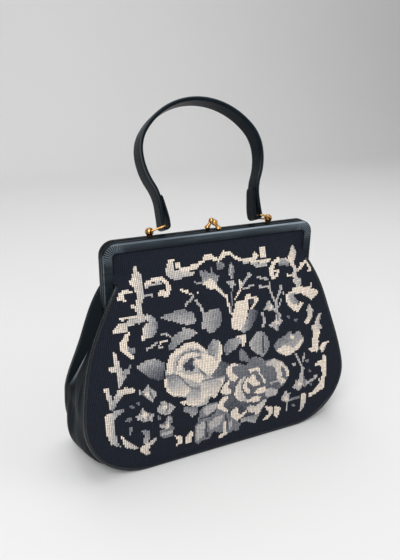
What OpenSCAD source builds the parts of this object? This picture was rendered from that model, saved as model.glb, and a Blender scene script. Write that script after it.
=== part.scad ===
/* [Body] */
// Width over the piping at the widest place
body_w = 292; // [276:1:312]
// Depth from front panel to rear panel at the widest place
body_d = 81.4; // [74:0.2:92]
// Height of the top of the frame above the base
body_h = 223.4; // [216:0.2:236]
// Height at which the panels stand furthest out
bulge_z = 20; // [12:1:32]
// Radius of the rounded bottom corners, over the piping
corner_r = 61.5; // [54:0.5:68]
// Radius of the long curve up each side, over the piping
side_r = 285; // [265:1:310]
// Lean of each side where its long curve starts, in degrees
side_lean = 7; // [5:0.5:9]
// Thickness of the needlepoint panels
panel_t = 1.7; // [1.2:0.1:2]
// Diameter of the leather piping round each panel
welt_d = 3.6; // [2.6:0.2:4.4]
// Thickness of the gusset leather
gusset_t = 1.4; // [0.8:0.1:2]
// Depth of the fold that the gusset makes under the hinges
fold_in = 18; // [8:1:22]
// Height at which that fold runs out
fold_z = 95; // [80:1:110]
// Thickness of the lining cloth
lining_t = 0.6; // [0.4:0.1:0.8]
// Thickness of the stiff board in the base
board_t = 2; // [1:0.2:3]

/* [Needlepoint] */
// Height of the coloured stitches above the ground stitches
stitch_h = 0.6; // [0.3:0.1:1]
// Width of the broad strokes of the scroll border
scroll_w = 5; // [3.5:0.5:6]
// Width of the leaves, on each side of the vein
leaf_w = 7; // [5:0.5:8]
// Width of the dark line left between petals and along veins
vein_w = 1.2; // [0.8:0.1:1.8]

/* [Frame] */
// Width of the frame over its leather
frame_w = 225; // [218:1:232]
// Depth of one half of the frame, from the middle of the mouth
half_d = 7; // [6.8:0.1:8]
// Height of the leather band on the frame's face
band_h = 9; // [7.6:0.2:10]
// Outer radius of the frame's corners
frame_r = 14; // [12:0.5:18]
// Thickness of the frame's steel strip
steel_t = 0.9; // [0.7:0.1:1]
// Thickness of the leather on the frame
hide_t = 1.1; // [0.8:0.1:1.2]
// Gap between the two halves of the closed frame
mouth_gap = 1.2; // [0.8:0.1:1.6]
// Drop from the frame's top to its hinge pins
hinge_drop = 66.4; // [62:0.2:70]
// Radius of the hinge ears
ear_r = 5; // [4:0.2:5.4]
// Diameter of the hinge rivets
rivet_d = 2.4; // [1.8:0.2:3]
// Number of pleats in the leather at each corner
pleats = 9; // [4:1:10]
// Diameter of the clasp knobs
knob_d = 6; // [4.6:0.2:6.2]

/* [Handle] */
// Lean of the handle at rest, in degrees
handle_lean = 22; // [14:1:24]
// Distance between the two handle studs
stud_gap = 127.8; // [122:0.2:134]
// Diameter of the balls on the studs
ball_d = 8; // [7:0.2:9]
// Height of the handle above the studs, along its lean
handle_h = 122; // [114:1:132]
// Width of the handle's arch at its widest
arch_w = 130.4; // [126:0.2:136]
// Height above the studs where the arch is widest
arch_z = 70; // [66:0.5:74]
// Radius of the top of the arch
arch_r = 72; // [70:0.5:80]
// Width of the handle at its waist, over the strap
waist_w = 107; // [102:0.2:112]
// Height of the waist above the studs
waist_z = 22; // [19:0.5:26]
// Width of the strap
strap_w = 16; // [13:0.2:18]
// Thickness of the strap
strap_t = 4.2; // [3.4:0.1:5]
// Thickness of the strap's thinned ends, which loop through the rings
tongue_t = 2; // [1.4:0.1:2.4]
// Length of the strap's folded back ends, above the rings
tongue_l = 23; // [16:0.5:28]
// Diameter of the rings' wire
wire_d = 1.8; // [1.4:0.1:2.2]

/* [Hidden] */

// Clearances and fineness
overrun = 1;
seat_gap = 0.3;
stitch_gap = 0.5;
seam_gap = 0.1;
run_gap = 0.06;
turn_gap = 0.1;
weld_gap = 0.3;
round_fn = 48;
gusset_columns = 12;
lining_columns = 6;
welt_sides = 8;
corner_steps = 7;
side_steps = 7;

// The outline of a panel: a corner circle and a long side arc that meet in line
corner_x = body_w / 2 - corner_r;
corner_c = [corner_x, corner_r];
side_c = corner_c - (side_r - corner_r) * [cos(side_lean), sin(side_lean)];
edge_in = welt_d + seam_gap;

// The frame's section, measured inwards from its outer edge and back from the mouth
steel_out = half_d - hide_t;
groove_out = steel_out - steel_t;
groove_in = mouth_gap / 2 + steel_t;
wrap_over = 0.5;
face_h = band_h + wrap_over;
edge_round = 2.2;
mouth_round = 0.5;
leg_in = frame_w / 2 - face_h;
top_z = body_h - face_h;
arc_x = frame_w / 2 - frame_r;
arc_z = body_h - frame_r;
hinge_z = body_h - hinge_drop;
leg_end_z = hinge_z + ear_r + overrun;

// Where the panels leave the frame, settle beside its legs and end their side seams
groove_slack = groove_out - groove_in - panel_t - lining_t;
tuck_play = 0.2;
tuck_clear = 1.6;
tuck_d = groove_out - groove_slack / 3 + tuck_play;
tuck_r = frame_r - hide_t - steel_t - tuck_clear;
seam_drop = 36.4;
settle_drop = 3;
settle_rise = 8;
settle_w = 29;
settle_clear = 4;
seam_top_z = body_h - seam_drop;
settle_low_z = seam_top_z - settle_drop;
settle_high_z = seam_top_z + settle_rise;
settle_out_x = leg_in - settle_clear;
settle_in_x = settle_out_x - settle_w;
bulge_s = body_d / 2 - tuck_d;
bulge_h = top_z - bulge_z;
bulge_r = (bulge_h * bulge_h + bulge_s * bulge_s) / (2 * bulge_s);

// Soft step from 0 at a to 1 at b
function soft(a, b, v) = let (t = max(0, min(1, (v - a) / (b - a)))) t * t * (3 - 2 * t);

// How far a panel's outer face stands from the middle plane
function bulge(z) =
    z >= top_z ? tuck_d : body_d / 2 - bulge_r + sqrt(bulge_r * bulge_r - (z - bulge_z) * (z - bulge_z));
function beside_leg(x, z) = soft(settle_in_x, settle_out_x, abs(x)) * soft(settle_low_z, settle_high_z, z);
function face_y(x, z) = let (g = beside_leg(x, z)) bulge(z) * (1 - g) + tuck_d * g;

// Stations on the right half of the outline: the centre, radius and angle of each
function side_angle(z) = asin((z - side_c.y) / side_r);
function corner_station(k) = [corner_c, corner_r, -90 + (90 + side_lean) * k / corner_steps];
function side_station(k, z) = [side_c, side_r, side_lean + (side_angle(z) - side_lean) * k / side_steps];
function stations(z) = concat(
    [for (k = [0:corner_steps]) corner_station(k)],
    [for (k = [1:side_steps]) side_station(k, z)]
);
function at(st, inset) = st[0] + (st[1] - inset) * [cos(st[2]), sin(st[2])];
function flipped(st) = [[-st[0].x, st[0].y], st[1], 180 - st[2]];

// Two triangles for the corners of a quad
function quad(a, b, c, d) = [[a, c, b], [a, d, c]];

// Solid between two grids of points that match row by row
module grid_solid(near, far) {
    rows = len(near);
    cols = len(near[0]);
    back = rows * cols;
    points = concat([for (row = near) each row], [for (row = far) each row]);
    faces = concat(
        [for (r = [0:rows - 2], c = [0:cols - 2])
            each quad(r * cols + c, r * cols + c + 1, (r + 1) * cols + c + 1, (r + 1) * cols + c)],
        [for (r = [0:rows - 2], c = [0:cols - 2])
            each quad(back + r * cols + c, back + (r + 1) * cols + c,
                back + (r + 1) * cols + c + 1, back + r * cols + c + 1)],
        [for (c = [0:cols - 2]) each quad(c, back + c, back + c + 1, c + 1)],
        [for (c = [0:cols - 2], last = [(rows - 1) * cols])
            each quad(last + c, last + c + 1, back + last + c + 1, back + last + c)],
        [for (r = [0:rows - 2]) each quad(r * cols, (r + 1) * cols, back + (r + 1) * cols, back + r * cols)],
        [for (r = [0:rows - 2], last = [cols - 1])
            each quad(r * cols + last, back + r * cols + last,
                back + (r + 1) * cols + last, (r + 1) * cols + last)]
    );
    polyhedron(points, faces);
}

// Half widths and heights of a panel's rows, up the seams and then between the frame's legs
function seam_rows(inset) =
    [for (st = stations(seam_top_z)) at(st, inset)];
function leg_rows(half_w) =
    let (low = seam_top_z + welt_d, high = settle_high_z + seat_gap)
    [for (z = [low, (low + high) / 2, high]) [half_w, z]];
function tuck_rows() = concat(
    leg_rows(leg_in - seat_gap),
    [[arc_x + tuck_r, settle_high_z + overrun]],
    [for (a = [0:30:90]) [arc_x, arc_z] + tuck_r * [cos(a), sin(a)]]
);

// One cloth or canvas sheet of given rows, its outer face set in by depth, with its columns closest
// where it settles beside the legs
panel_shares = [0.24, 0.46, 0.62, 0.7, 0.77, 0.84, 0.92, 1];
function mirrored(shares) = concat([for (k = [len(shares) - 1:-1:0]) -shares[k]], [0], shares);
module sheet(rows, column_shares, depth, thick) {
    across_shares = mirrored(column_shares);
    near = [for (row = rows) [for (s = across_shares) [s * row.x, depth - face_y(s * row.x, row.y), row.y]]];
    far = [for (row = near) [for (p = row) p + [0, thick, 0]]];
    grid_solid(near, far);
}

module panel_sheet() {
    sheet(concat(seam_rows(edge_in), tuck_rows()), panel_shares, 0, panel_t);
}

module to_rear() {
    mirror([0, 1, 0]) children();
}

module to_left() {
    mirror([1, 0, 0]) children();
}

module both_sides() {
    children();
    to_left() children();
}

// Canvas worked in wool
module front_panel() {
    color([0.09, 0.1, 0.13]) panel_sheet();
}

module rear_panel() {
    color([0.09, 0.1, 0.13]) to_rear() panel_sheet();
}

// The piping's middle line runs round the outline, half its own width inside it
welt_line = let (right = stations(seam_top_z)) concat(
    [for (k = [len(right) - 1:-1:0]) flipped(right[k])],
    right
);
function welt_y(p) = -face_y(p.x, p.y) + panel_t / 2;

// Round tube along a list of stations
module welt() {
    mids = [for (st = welt_line) let (p = at(st, welt_d / 2)) [p.x, welt_y(p), p.y]];
    outs = [for (st = welt_line) [cos(st[2]), 0, sin(st[2])]];
    last = len(mids) - 1;
    rings = [for (k = [0:last])
        let (
            run = mids[min(k + 1, last)] - mids[max(k - 1, 0)],
            side = cross(run, outs[k]) / norm(cross(run, outs[k]))
        )
        [for (s = [0:welt_sides - 1])
            mids[k] + welt_d / 2 * (cos(360 * s / welt_sides) * outs[k] + sin(360 * s / welt_sides) * side)]
    ];
    points = [for (ring = rings) each ring];
    walls = [for (k = [0:last - 1], s = [0:welt_sides - 1])
        let (n = (s + 1) % welt_sides)
        each quad(k * welt_sides + s, k * welt_sides + n,
            (k + 1) * welt_sides + n, (k + 1) * welt_sides + s)];
    caps = [
        [for (s = [0:welt_sides - 1]) s],
        [for (s = [welt_sides - 1:-1:0]) last * welt_sides + s]
    ];
    polyhedron(points, concat(walls, caps));
}

module front_piping() {
    color([0.07, 0.09, 0.1]) welt();
}

module rear_piping() {
    color([0.07, 0.09, 0.1]) to_rear() welt();
}

// The gusset's edges lie just behind the piping, and its middle folds in under the hinge
fold_clear = 1.5;
fold_top_z = hinge_z - ear_r - fold_clear;
fold_share = 0.75;
lip_share = 0.45;
welt_proud = 1.4;
function strip_top(c) = fold_top_z + (seam_top_z - fold_top_z) * soft(lip_share, 1, abs(c));
function strip_stations(c) = stations(strip_top(c));
function fold_at(c, z) = fold_in * soft(fold_z, hinge_z, z) * (1 - soft(0, fold_share, abs(c)));
function proud_at(angle) = welt_proud * soft(-90, -30, angle);
function strip_y(p) = -face_y(p.x, p.y) + panel_t / 2 + welt_d / 2 + seat_gap;

// One side of a leather or cloth strip that joins the two panels, from the base to the hinge
module strip_side(inset, thick, inner, count) {
    columns = [for (c = [0:count]) 2 * c / count - 1];
    grids = [for (c = columns) strip_stations(c)];
    function place(k, j, more) =
        let (
            st = grids[j][k],
            edge = at(st, inset + welt_d / 2),
            p = at(st, inset + more + proud_at(st[2]) + fold_at(columns[j], edge.y))
        )
        [p.x, columns[j] * (-strip_y(edge) - inner), p.y];
    rows = [0:corner_steps + side_steps];
    near = [for (k = rows) [for (j = [0:count]) place(k, j, 0)]];
    far = [for (k = rows) [for (j = [0:count]) place(k, j, thick)]];
    grid_solid(near, far);
}

// Flat run of the strip across the base
module strip_base(inset, thick, inner) {
    half_y = -strip_y([corner_x, inset + welt_d / 2]) - inner;
    translate([-corner_x, -half_y, inset]) cube([2 * corner_x, 2 * half_y, thick]);
}

module gusset() {
    color([0.07, 0.09, 0.1]) {
        both_sides() strip_side(0, gusset_t, 0, gusset_columns);
        strip_base(0, gusset_t, 0);
    }
}

// The board lies on the gusset, and the lining stands on the board
board_in = 6;
board_r = 5;
board_y = body_d / 2 - board_in - welt_d;
lining_in = gusset_t + board_t + seat_gap + welt_proud;
lining_gap = 0.5;
lining_depth = panel_t + lining_gap;
lining_leg_gap = 4;
lining_shares = [0.46, 0.7, 0.77, 0.84, 0.92, 1];
lining_reach = lining_depth + lining_t / 2 - panel_t / 2 - welt_d / 2 - seat_gap;

module base_board() {
    slab = [2 * (corner_x - seat_gap), 2 * board_y];
    color([0.55, 0.45, 0.35]) translate([0, 0, gusset_t]) linear_extrude(board_t) union() {
        square([slab.x - 2 * board_r, slab.y], center = true);
        square([slab.x, slab.y - 2 * board_r], center = true);
        for (x = [-1, 1], y = [-1, 1]) {
            translate([x * (slab.x / 2 - board_r), y * (slab.y / 2 - board_r)])
                circle(board_r, $fn = round_fn);
        }
    }
}

module lining_sheet() {
    half_w = leg_in - lining_leg_gap;
    rows = concat(seam_rows(lining_in + lining_t / 2), leg_rows(half_w), [[half_w, top_z - overrun]]);
    sheet(rows, lining_shares, lining_depth, lining_t);
}

module lining() {
    color([0.72, 0.66, 0.56]) {
        lining_sheet();
        to_rear() lining_sheet();
        both_sides() strip_side(lining_in, lining_t, lining_reach, lining_columns);
        strip_base(lining_in, lining_t, lining_reach);
    }
}

// One half of the frame lies behind the mouth; the other is its mirror image
module to_front() {
    mirror([0, 1, 0]) children();
}

// Sweep a section round the top bar, the corners and the legs
module frame_sweep() {
    translate([0, 0, body_h]) rotate([0, 90, 0]) linear_extrude(2 * arc_x, center = true) children();
    both_sides() {
        translate([-frame_w / 2, 0, leg_end_z]) linear_extrude(arc_z - leg_end_z) children();
        translate([-arc_x, 0, arc_z]) rotate([-90, 0, 0]) rotate([0, 0, 180])
            rotate_extrude(angle = 90, $fn = round_fn) translate([frame_r, 0]) mirror([1, 0]) children();
    }
}

// Steel channel, open on the side that takes the panel
module channel_section() {
    translate([hide_t, mouth_gap / 2]) square([steel_t, steel_out - mouth_gap / 2]);
    translate([hide_t, groove_out]) square([band_h - hide_t, steel_t]);
    translate([hide_t, mouth_gap / 2]) square([band_h - hide_t, steel_t]);
}

// Leather over the outer edge and the face, with its edges rounded
module hide_section() {
    difference() {
        union() {
            translate([edge_round, half_d - edge_round]) circle(edge_round, $fn = round_fn);
            translate([0, mouth_gap / 2 + mouth_round])
                square([hide_t, half_d - edge_round - mouth_gap / 2 - mouth_round]);
            translate([hide_t / 2, mouth_gap / 2 + hide_t / 2]) circle(hide_t / 2, $fn = round_fn);
            translate([edge_round, half_d - hide_t]) square([face_h - edge_round - hide_t / 2, hide_t]);
            translate([face_h - hide_t / 2, half_d - hide_t / 2]) circle(hide_t / 2, $fn = round_fn);
        }
        translate([hide_t, 0]) square([band_h - hide_t, steel_out]);
    }
}

// Holes for the shanks that are riveted through the frame's top
shank_d = 2.2;
stud_y = (groove_in + groove_out) / 2;
module shank_holes(places) {
    for (x = places) {
        translate([x, stud_y, body_h - hide_t - steel_t - overrun])
            cylinder(d = shank_d + 2 * run_gap, h = hide_t + steel_t + 2 * overrun, $fn = round_fn);
    }
}

// Hinge ear, a disc on a neck that comes down from the leg; set gives its inner face
module ear(set) {
    translate([set, 0, 0]) rotate([90, 0, 90]) linear_extrude(steel_t) difference() {
        union() {
            translate([0, hinge_z]) circle(ear_r, $fn = round_fn);
            polygon([
                [mouth_gap / 2, hinge_z],
                [ear_r, hinge_z],
                [steel_out, leg_end_z],
                [steel_out, leg_end_z + band_h],
                [mouth_gap / 2, leg_end_z + band_h]
            ]);
        }
        translate([0, hinge_z]) circle(d = rivet_d + 2 * run_gap, $fn = round_fn);
    }
}

leg_wall_x = frame_w / 2 - hide_t - steel_t;
rear_ear_x = leg_wall_x - weld_gap - steel_t;

module half_frame(places) {
    difference() {
        frame_sweep() channel_section();
        shank_holes(places);
    }
}

module rear_frame() {
    color([0.12, 0.12, 0.13]) {
        half_frame([-stud_gap / 2, -knob_x, stud_gap / 2]);
        both_sides() {
            difference() {
                ear(rear_ear_x);
                translate([rear_ear_x - overrun, 0, leg_end_z])
                    cube([steel_t + 2 * overrun, groove_in + seat_gap, 2 * band_h]);
                translate([rear_ear_x - overrun, groove_out - seat_gap, leg_end_z])
                    cube([steel_t + 2 * overrun, steel_out, 2 * band_h]);
            }
            translate([rear_ear_x, groove_in + seat_gap, leg_end_z + band_h / 3])
                cube([steel_t + weld_gap + steel_t / 2, groove_out - groove_in - 2 * seat_gap, band_h / 2]);
        }
    }
}

module front_frame() {
    color([0.12, 0.12, 0.13]) to_front() {
        half_frame([knob_x]);
        both_sides() ear(leg_wall_x);
    }
}

// Small radial pleats where the leather turns the frame's corners
pleat_d = 1.4;
pleat_sink = 0.45;
module corner_pleats() {
    for (k = [0:pleats - 1]) {
        turn = 90 * (k + 0.5) / pleats - 90;
        translate([-arc_x, half_d - pleat_d / 2 + pleat_sink, arc_z]) rotate([0, turn, 0])
            translate([0, 0, frame_r - face_h + pleat_d])
                cylinder(d = pleat_d, h = face_h - edge_round - pleat_d / 2, $fn = round_fn);
    }
}

module half_leather(places) {
    difference() {
        union() {
            frame_sweep() hide_section();
            both_sides() corner_pleats();
        }
        shank_holes(places);
    }
}

module rear_frame_leather() {
    color([0.07, 0.09, 0.1]) half_leather([-stud_gap / 2, -knob_x, stud_gap / 2]);
}

module front_frame_leather() {
    color([0.07, 0.09, 0.1]) to_front() half_leather([knob_x]);
}

// Rivet through both ears, with a flat head at each end
head_t = 0.8;
head_d = 2 * rivet_d;
module hinge_rivet() {
    color([0.12, 0.12, 0.13]) translate([rear_ear_x, 0, hinge_z]) rotate([0, 90, 0]) {
        stack = 2 * steel_t + weld_gap + turn_gap;
        cylinder(d = rivet_d, h = stack, $fn = round_fn);
        translate([0, 0, -head_t]) cylinder(d = head_d, h = head_t, $fn = round_fn);
        translate([0, 0, stack]) cylinder(d = head_d, h = head_t, $fn = round_fn);
    }
}

module right_hinge_rivet() {
    hinge_rivet();
}

module left_hinge_rivet() {
    to_left() hinge_rivet();
}

// Shank under a fitting on the frame's top, spread out inside the channel
spread_d = groove_out - groove_in - 2 * seat_gap;
module shank() {
    depth = hide_t + steel_t;
    translate([0, 0, -depth]) cylinder(d = shank_d, h = depth, $fn = round_fn);
    translate([0, 0, -depth - head_t]) cylinder(d = spread_d, h = head_t, $fn = round_fn);
}

// Clasp knob: a round foot to one side and a neck that leans to the middle, where the two balls meet
knob_x = 4.2;
knob_h = 7.8;
neck_d = 3.2;
foot_d = 6;
module clasp_knob() {
    foot_z = foot_d / 3;
    rise = knob_h - foot_z;
    color([0.8, 0.6, 0.3]) translate([knob_x, stud_y, body_h]) {
        shank();
        cylinder(d1 = neck_d, d2 = foot_d, h = foot_z, $fn = round_fn);
        translate([0, 0, foot_z]) {
            cylinder(d1 = foot_d, d2 = neck_d, h = foot_z, $fn = round_fn);
            rotate([0, -atan2(knob_x, rise), 0]) {
                cylinder(d = neck_d, h = norm([knob_x, rise]), $fn = round_fn);
                translate([0, 0, norm([knob_x, rise])]) sphere(d = knob_d, $fn = round_fn);
            }
        }
    }
}

module front_clasp_knob() {
    to_front() clasp_knob();
}

module rear_clasp_knob() {
    to_left() clasp_knob();
}

// Handle stud: a ball with a slot that flares both ways, so the ring can lean to and fro
ball_z = body_h + ball_d / 2;
slot_w = wire_d + 2 * run_gap;
collar_d = 5.2;
collar_t = 1;
slot_ease = 1;
module slot_outline() {
    waist = slot_w / 2 / cos(handle_lean);
    mouth = waist + ball_d * tan(handle_lean + slot_ease);
    upper = [[ball_d, mouth], [0, waist], [-ball_d, mouth]];
    polygon(concat([for (p = upper) -p], upper));
}

module handle_stud() {
    color([0.8, 0.6, 0.3]) translate([stud_gap / 2, stud_y, body_h]) {
        shank();
        difference() {
            union() {
                translate([0, 0, ball_d / 2]) sphere(d = ball_d, $fn = round_fn);
                cylinder(d = collar_d, h = collar_t, $fn = round_fn);
            }
            translate([0, 0, ball_d / 2]) rotate([90, 0, 90])
                linear_extrude(slot_w, center = true) slot_outline();
        }
    }
}

module right_handle_stud() {
    handle_stud();
}

module left_handle_stud() {
    to_left() handle_stud();
}

// The handle is drawn upright about the studs' line, then leaned back on it
module leaned() {
    translate([0, stud_y, ball_z]) rotate([-handle_lean, 0, 0]) children();
}

// Ring of wire: one bar in the stud's ball, one in the strap's loop
bar_z = 3.2;
loop_r = wire_d / 2 + run_gap + tongue_t;
bar_x = waist_w / 2 - loop_r;
near_spare = 3;
far_spare = 4.4;
near_bar = ball_d + near_spare;
far_bar = strap_w + far_spare;
bend_r = 1.8;
rod_lap = 0.2;
rod_step = 0.03;

// Closed flat wire with round corners, through points that go round to the left
module bent_wire(points) {
    count = len(points);
    function way(k) = let (run = points[(k + 1) % count] - points[k % count]) run / norm(run);
    function turn(k) = acos(way(k + count - 1) * way(k));
    function cut(k) = bend_r * tan(turn(k) / 2);
    for (k = [0:count - 1]) {
        came = way(k + count - 1);
        goes = way(k);
        run = norm(points[(k + 1) % count] - points[k]) - cut(k) - cut(k + 1) + 2 * rod_lap;
        translate(points[k] - cut(k) * came + bend_r * [-came.y, came.x])
            rotate([0, 0, atan2(came.y, came.x) - 90])
                rotate_extrude(angle = turn(k), $fn = round_fn) translate([bend_r, 0])
                    circle(d = wire_d, $fn = round_fn);
        translate(points[k] + (cut(k) - rod_lap) * goes) rotate([0, 90, atan2(goes.y, goes.x)])
            cylinder(d = wire_d - 2 * rod_step, h = run, $fn = round_fn);
    }
}

module ring() {
    slant = [bar_x - stud_gap / 2, bar_z];
    color([0.8, 0.6, 0.3]) leaned() translate([stud_gap / 2, 0, 0])
        rotate([0, atan2(-slant.y, slant.x), 0]) bent_wire([
            [0, -near_bar / 2],
            [norm(slant), -far_bar / 2],
            [norm(slant), far_bar / 2],
            [0, near_bar / 2]
        ]);
}

module right_ring() {
    ring();
}

module left_ring() {
    to_left() ring();
}

// Strap: four arcs that meet in line on each side, then a loop and a folded back end
shoulder_k = arch_z - handle_h + arch_r;
arch_a = arch_w / 2;
shoulder_r = (arch_r * arch_r - arch_a * arch_a - shoulder_k * shoulder_k) / (2 * (arch_r - arch_a));
shoulder_angle = atan2(shoulder_k, arch_a - shoulder_r);
flare = arch_a - waist_w / 2;
flank_h = arch_z - waist_z;
flank_sum = (flare * flare + flank_h * flank_h) / (2 * flare);
flank_share = 0.6;
flank_r = flank_share * flank_sum;
waist_r = flank_sum - flank_r;
flank_angle = asin(flank_h / flank_sum);

// Part of a flat ring between two angles, with a small lap at each end
lap_angle = 0.4;
module ring_sector(outer, thick, low, high) {
    reach = 2 * outer;
    from = low - lap_angle;
    to = high + lap_angle;
    intersection() {
        difference() {
            circle(outer, $fn = 4 * round_fn);
            circle(outer - thick, $fn = 4 * round_fn);
        }
        polygon([[0, 0], for (turn = [from, (from + to) / 2, to]) reach * [cos(turn), sin(turn)]]);
    }
}

module strap_half() {
    loop_hole = wire_d / 2 + run_gap;
    translate([0, handle_h - arch_r]) ring_sector(arch_r, strap_t, shoulder_angle, 90);
    translate([arch_a - shoulder_r, arch_z]) ring_sector(shoulder_r, strap_t, 0, shoulder_angle);
    translate([arch_a - flank_r, arch_z]) ring_sector(flank_r, strap_t, -flank_angle, 0);
    translate([waist_w / 2 + waist_r, waist_z])
        ring_sector(waist_r + strap_t, strap_t, 180 - flank_angle, 180);
    difference() {
        union() {
            translate([waist_w / 2 - strap_t, bar_z]) square([strap_t, waist_z - bar_z]);
            translate([bar_x - loop_r, bar_z]) square([tongue_t, tongue_l]);
            translate([bar_x, bar_z]) circle(loop_r, $fn = round_fn);
        }
        translate([bar_x, bar_z]) circle(loop_hole, $fn = round_fn);
    }
}

module handle_strap() {
    color([0.07, 0.09, 0.1]) leaned() rotate([90, 0, 0]) linear_extrude(strap_w, center = true) {
        strap_half();
        mirror([1, 0]) strap_half();
    }
}

// Coloured stitches stand a little above the front panel, in places given as shares of its half width
// and height
tip_w = 0.8;
stroke_steps = 5;
end_share = 0.06;
petal_steps = 4;
scallop_share = 0.08;
function spot(share) = [share.x * body_w / 2, share.y * body_h];
function on_face(p, lift) = [p.x, -face_y(p.x, p.y) - stitch_gap - lift, p.y];
module stitched(rows) {
    grid_solid(
        [for (row = rows) [for (p = row) on_face(p, stitch_h)]],
        [for (row = rows) [for (p = row) on_face(p, 0)]]
    );
}

// A curve through three spots that starts and ends on the outer two, and its sideways direction
function bend(pts, t) = (1 - t) * (1 - t) * pts[0] + 2 * t * (1 - t) * pts[1] + t * t * pts[2];
function bend_side(pts, t) =
    let (run = (1 - t) * (pts[1] - pts[0]) + t * (pts[2] - pts[1])) [run.y, -run.x] / norm(run);

// Stroke along such a curve that narrows to a tip at both ends
module stroke(row) {
    pts = [for (k = [0:2]) spot(row[k])];
    stitched([for (i = [0:stroke_steps])
        let (
            u = i / stroke_steps,
            t = end_share + (1 - 2 * end_share) * u,
            half = (tip_w + scroll_w * row[3] * sqrt(sin(180 * u))) / 2,
            side = half * bend_side(pts, t)
        )
        [bend(pts, t) - side, bend(pts, t) + side]]);
}

// Half of a leaf, on one side of its vein
module half_leaf(row, hand) {
    pts = [for (k = [0:2]) spot(row[k])];
    stitched([for (i = [0:stroke_steps])
        let (
            t = i / stroke_steps,
            side = bend_side(pts, t),
            vein = bend(pts, t) + hand * vein_w / 2 * side,
            edge = vein + hand * (tip_w + leaf_w * row[3] * sin(180 * t)) * side
        )
        hand > 0 ? [vein, edge] : [edge, vein]]);
}

// Petals between two shares of a flower's size; row gives the flower's spot and its two half sizes
module petals(row, inner_share, outer_share, count, picked, steps = petal_steps) {
    middle = spot([row[0], row[1]]);
    half = [row[2] * body_w / 2, row[3] * body_h];
    gap = vein_w / (outer_share * half.x) * 180 / PI;
    for (k = picked) {
        stitched([for (i = [0:steps])
            let (
                u = i / steps,
                turn = 360 / count * k + gap / 2 + (360 / count - gap) * u,
                way = [half.x * cos(turn), half.y * sin(turn)],
                reach_share = outer_share * (1 - scallop_share * (2 * u - 1) * (2 * u - 1))
            )
            [middle + inner_share * way, middle + reach_share * way]]);
    }
}

// Square of a few stitches in a flower's middle
module heart(row, share) {
    middle = spot([row[0], row[1]]);
    half = share * [row[2] * body_w / 2, row[3] * body_h];
    stitched([for (v = [-1, 1]) [for (u = [-1, 1]) middle + [u * half.x, v * half.y]]]);
}

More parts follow.
